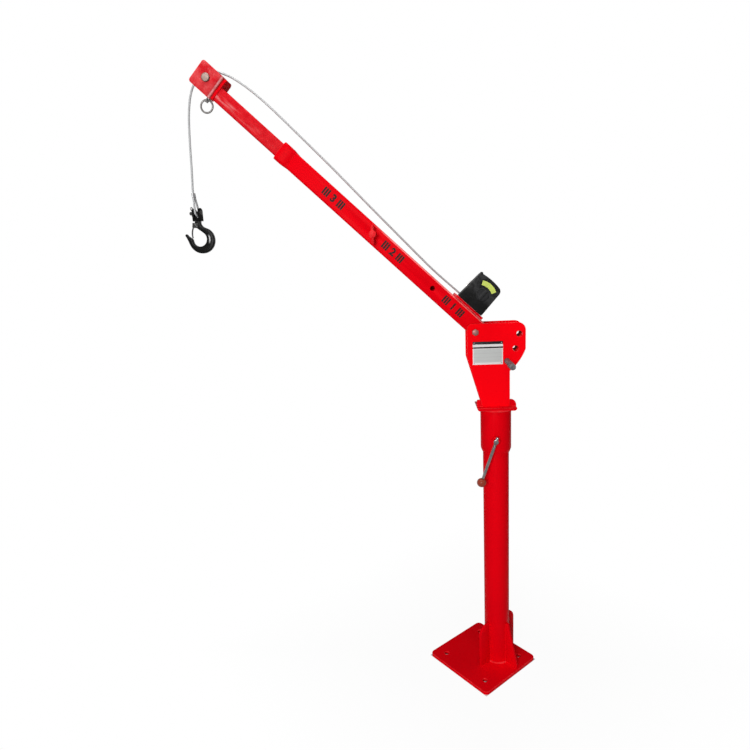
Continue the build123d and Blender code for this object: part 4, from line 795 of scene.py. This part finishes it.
WIND_RADIUS, WIND_LOOPS, WIND_PITCH, LEAD_SIDE, CHORDS = 0.034, 10, 0.0065, -0.033, 16
LEAD_LOW = DRUM_T - WIND_RADIUS
lead_start = Vector((0.072, LEAD_SIDE, LEAD_LOW))
wind_route = []
for n in range(WIND_LOOPS * CHORDS):
    turn = math.radians(-90) + 2 * math.pi * (n / CHORDS - WIND_LOOPS)
    y = LEAD_SIDE + WIND_PITCH * (WIND_LOOPS - n / CHORDS)
    reach = WIND_RADIUS / math.cos(math.pi / CHORDS)
    loop_point = Vector((DRUM_S + reach * math.cos(turn), y, DRUM_T + reach * math.sin(turn)))
    wind_route.append(boom_place @ loop_point)
wind_route += [boom_place @ Vector((DRUM_S, LEAD_SIDE, LEAD_LOW)), boom_place @ lead_start]
wind_path = route_line("winding_route", wind_route, 6)
winding = stranded("rope_on_drum", wind_path)
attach(winding, "drum")
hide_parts("rope_winding")

SHEAVE_S, SHEAVE_T, SHEAVE_RADIUS, LEAD_TOUCH = 1.0115, 0.0117, 0.027, math.radians(25.3)
LEAD_BOW = (
    (0.072, -30.5, 40.2), (0.136, -28.4, 39.2), (0.200, -26.2, 41.6), (0.269, -23.8, 45.0),
    (0.344, -21.3, 48.5), (0.418, -18.8, 52.2), (0.493, -16.2, 56.5), (0.567, -13.7, 60.6),
    (0.642, -11.2, 63.4), (0.716, -8.6, 65.9), (0.791, -6.1, 68.5), (0.849, -4.1, 69.1),
    (0.897, -2.5, 66.7), (0.940, -1.0, 61.3), (0.972, 0.0, 54.0))
lead_end = Vector((SHEAVE_S + SHEAVE_RADIUS * math.sin(LEAD_TOUCH), 0,
                   SHEAVE_T + SHEAVE_RADIUS * math.cos(LEAD_TOUCH)))
lead_bow = [Vector((lead_start.x + share * (SHEAVE_S - lead_start.x), y / 1000, t / 1000))
            for share, y, t in LEAD_BOW]
lead_route = [boom_place @ point for point in [lead_start] + lead_bow + [lead_end]]
lead_path = route_line("lead_route", lead_route, 24)
lead = stranded("rope_lead_strands", lead_path)
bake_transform(lead)
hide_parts("rope_lead")

SHEAVE = boom_place @ Vector((SHEAVE_S, 0, SHEAVE_T))
FALL_LEAN = math.radians(45.0)
fall_start = SHEAVE + Vector((-math.cos(FALL_LEAN), 0, math.sin(FALL_LEAN))) * SHEAVE_RADIUS
wrap_way = ((lead_route[-1] - SHEAVE) + (fall_start - SHEAVE)).normalized()
wrap_corner = SHEAVE + wrap_way * SHEAVE_RADIUS / ((lead_route[-1] - SHEAVE).normalized().dot(wrap_way))
wrap_path = route_line("wrap_route", [lead_route[-1], wrap_corner, fall_start], 24)
wrap = stranded("rope_wrap_strands", wrap_path)
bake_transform(wrap)
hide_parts("rope_wrap")

FALL_BOW = (
    (-35.0, 3.2), (-46.6, -11.2), (-53.8, -26.5), (-59.5, -44.0), (-64.0, -65.0), (-67.6, -88.0),
    (-70.1, -118.0), (-72.0, -148.0), (-73.4, -178.0), (-74.6, -210.0), (-75.9, -240.0), (-77.4, -265.0),
    (-78.9, -284.5), (-78.0, -293.1))
fall_route = [fall_start] + [SHEAVE + Vector((x / 1000, 0, z / 1000)) for x, z in FALL_BOW]
fall_path = route_line("fall_route", fall_route, 20)
fall = stranded("rope_fall_strands", fall_path)
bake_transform(fall)
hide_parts("rope_fall")

# Rope's end: an aluminium ferrule pressed over the rope and its own tail, and the eye that it closes.
# The eye goes round the jaw's pin.
EYE_HANG, EYE_TILT, JAW_TURN = 0.0553, math.radians(6.0), math.radians(-15.0)
EYE_LOOP = ((3.25, 46.3), (8.81, 6.77), (10.01, -1.77), (4.33, -8.30), (-4.33, -8.30), (-10.01, -1.77),
            (-8.81, 6.77), (-3.25, 46.3))
ferrule_metal = finish_of("ferrule_metal", light=(0.34, 0.34, 0.34), dark=(0.24, 0.24, 0.25),
                          speck=(0.12, 0.12, 0.12), ripple_scale=700.0, tone_scale=80.0, rough=(0.35, 0.5),
                          bump=0.0001, metallic=1.0)
ferrule = eased("ferrule", ferrule_metal, width=0.0)
jaw_pin_middle = fall_route[-1] - Vector((-math.sin(EYE_TILT), 0, math.cos(EYE_TILT))) * EYE_HANG
eye_place = (Matrix.Translation(jaw_pin_middle) @ Matrix.Rotation(-EYE_TILT, 4, "Y")
             @ Matrix.Rotation(JAW_TURN, 4, "Z"))
eye_route = [eye_place @ Vector((0, y / 1000, z / 1000)) for y, z in EYE_LOOP]
eye = stranded("rope_eye_strands", route_line("eye_route", eye_route, 24))
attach(eye, node_body["rope_eye"])
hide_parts("rope_eye")

# Hook: a forged and blackened hook that swivels in a jaw on the rope's eye, with a steel pin and cotter.
# A sprung sheet-metal latch closes its mouth, and a grey painted highlight lies along the crest of its bow.
forged_black = finish_of("forged_black", light=(0.004, 0.004, 0.004), dark=(0.002, 0.002, 0.002),
                         speck=(0.010, 0.010, 0.010), ripple_scale=260.0, tone_scale=40.0, rough=(0.14, 0.22),
                         bump=0.0002, specular=0.05)
black_steel = finish_of("black_steel", light=(0.034, 0.033, 0.032), dark=(0.020, 0.019, 0.018),
                        speck=(0.06, 0.06, 0.06), ripple_scale=900.0, tone_scale=60.0, rough=(0.25, 0.4),
                        bump=0.0001, specular=0.25)
HOOK_MIDDLE, CREST_RADIUS, CREST_FULL, CREST_END = Vector((-0.844, 0.0, 1.3612)), 0.0315, 0.0008, 0.0026
CREST_FROM, CREST_WHOLE, CREST_HIGH, CREST_TIP, CREST_HIGHLIGHT_GREY = 0.012, 0.027, 0.006, 0.013, (0.55, 0.55, 0.55)
# Painted highlight: a thin grey arc on the crest of the hook's bow.
hook_black, tree = copy_of(forged_black, "hook_black")
from_middle = tree.nodes.new("ShaderNodeVectorMath")
from_middle.operation = "SUBTRACT"
from_middle.inputs[1].default_value = HOOK_MIDDLE
tree.links.new(object_place(tree), from_middle.inputs[0])
axes = axes_of(tree, from_middle.outputs["Vector"])
squares = maths(tree, "ADD", maths(tree, "POWER", axes[0], 2.0), maths(tree, "POWER", axes[2], 2.0))
reach = maths(tree, "POWER", squares, 0.5)
crest_highlight = remap(tree, away_from(tree, reach, CREST_RADIUS), CREST_FULL, CREST_END, 1.0, 0.0)
crest_highlight = maths(tree, "MULTIPLY", crest_highlight, remap(tree, axes[0], CREST_FROM, CREST_WHOLE, 0.0, 1.0))
height = maths(tree, "ABSOLUTE", axes[2])
crest_highlight = maths(tree, "MULTIPLY", crest_highlight, remap(tree, height, CREST_HIGH, CREST_TIP, 1.0, 0.0))
overpaint(tree, crest_highlight, CREST_HIGHLIGHT_GREY)
eased("jaw", forged_black, width=0.0015, segments=3)
eased("jaw_pin", black_steel, width=0.0007)
eased("jaw_cotter", zinc, width=0.0)
eased("hook", hook_black, width=0.0)
eased("latch_pin", black_steel, width=0.0004)
eased("hook_latch", black_steel, width=0.0003)

# Studio: a white floor and background, with a soft lamp in front, high on the left, and another overhead.
# The camera stands where the photograph was taken from.
FLOOR_SIZE, FLOOR_PLACE, PLATE_HALF = 14.0, (-0.3, 0.0, -0.0002), 0.1185
SHADE_NEAR, SHADE_FAR, SHADE_COVER = 0.2, 0.7, 0.95
AMBIENT, LIT_PLACE = 0.06, (-0.3, 0.0, 0.9)
CAMERA_PLACE, CAMERA_TURN = (-0.20676, -1.58031, 1.24931), (79.10784, 2.69071, 4.75244)
CAMERA_LENS, CAMERA_SENSOR = 26.098, 36.0
bpy.ops.object.select_all(action="DESELECT")
bpy.ops.mesh.primitive_plane_add(size=FLOOR_SIZE, location=FLOOR_PLACE)
floor = bpy.context.object
floor.name = "studio_floor"
bpy.ops.object.transform_apply(location=True)


def ray_of(tree):
    """1 for a ray from the camera, from a mirror or through glass, otherwise 0."""
    ray = tree.nodes.new("ShaderNodeLightPath")
    total = ray.outputs["Is Camera Ray"]
    for label in ("Is Glossy Ray", "Is Transmission Ray"):
        total = maths(tree, "MAXIMUM", total, ray.outputs[label])
    return total


paper = bpy.data.materials.new("studio_paper")
paper.use_nodes = True
tree = paper.node_tree
sheet = tree.nodes["Principled BSDF"]
sheet.inputs["Base Color"].default_value = (0.7, 0.7, 0.7, 1)
sheet.inputs["Roughness"].default_value = 0.9
sheet.inputs["Specular IOR Level"].default_value = 0.0
white = tree.nodes.new("ShaderNodeEmission")
plate_low, plate_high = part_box("base_plate")
square = tree.nodes.new("ShaderNodeMapping")
square.vector_type = "TEXTURE"
square.inputs["Location"].default_value = (plate_low + plate_high) / 2
square.inputs["Rotation"].default_value = (0, 0, PLATE_TURN)
tree.links.new(tree.nodes.new("ShaderNodeTexCoord").outputs["Object"], square.inputs["Vector"])
axes = axes_of(tree, square.outputs["Vector"])
distance = maths(tree, "MAXIMUM", maths(tree, "ABSOLUTE", axes[0]), maths(tree, "ABSOLUTE", axes[1]))
cover = maths(tree, "MULTIPLY", ray_of(tree), remap(tree, distance, SHADE_NEAR, SHADE_FAR, SHADE_COVER, 1.0))
cover = maths(tree, "MULTIPLY", cover, maths(tree, "GREATER_THAN", distance, PLATE_HALF))
blank = tree.nodes.new("ShaderNodeMixShader")
tree.links.new(cover, blank.inputs[0])
tree.links.new(sheet.outputs[0], blank.inputs[1])
tree.links.new(white.outputs[0], blank.inputs[2])
tree.links.new(blank.outputs[0], tree.nodes["Material Output"].inputs["Surface"])
floor.data.materials.append(paper)

world = bpy.data.worlds.new("studio")
world.use_nodes = True
bpy.context.scene.world = world
tree = world.node_tree
background = tree.nodes["Background"]
background.inputs["Color"].default_value = (1, 1, 1, 1)
tree.links.new(remap(tree, ray_of(tree), 0.0, 1.0, AMBIENT, 1.0), background.inputs["Strength"])


def lamp(name, place, aim, size, power):
    """A square soft lamp that faces a point."""
    light = bpy.data.lights.new(name, "AREA")
    light.size, light.energy = size, power
    holder = bpy.data.objects.new(name, light)
    holder.location = place
    holder.rotation_euler = (Vector(aim) - Vector(place)).to_track_quat("-Z", "Y").to_euler()
    bpy.context.scene.collection.objects.link(holder)


lamp("front_lamp", place=(-1.6, -6.0, 2.4), aim=LIT_PLACE, size=2.2, power=285.0)
lamp("top_lamp", place=(-0.3, -0.6, 4.5), aim=LIT_PLACE, size=2.0, power=84.0)

camera = bpy.data.objects.new("camera", bpy.data.cameras.new("camera"))
camera.data.lens, camera.data.sensor_width = CAMERA_LENS, CAMERA_SENSOR
camera.location = CAMERA_PLACE
camera.rotation_euler = [math.radians(angle) for angle in CAMERA_TURN]
bpy.context.scene.collection.objects.link(camera)
bpy.context.scene.camera = camera
bpy.context.scene.view_settings.view_transform = "Standard"
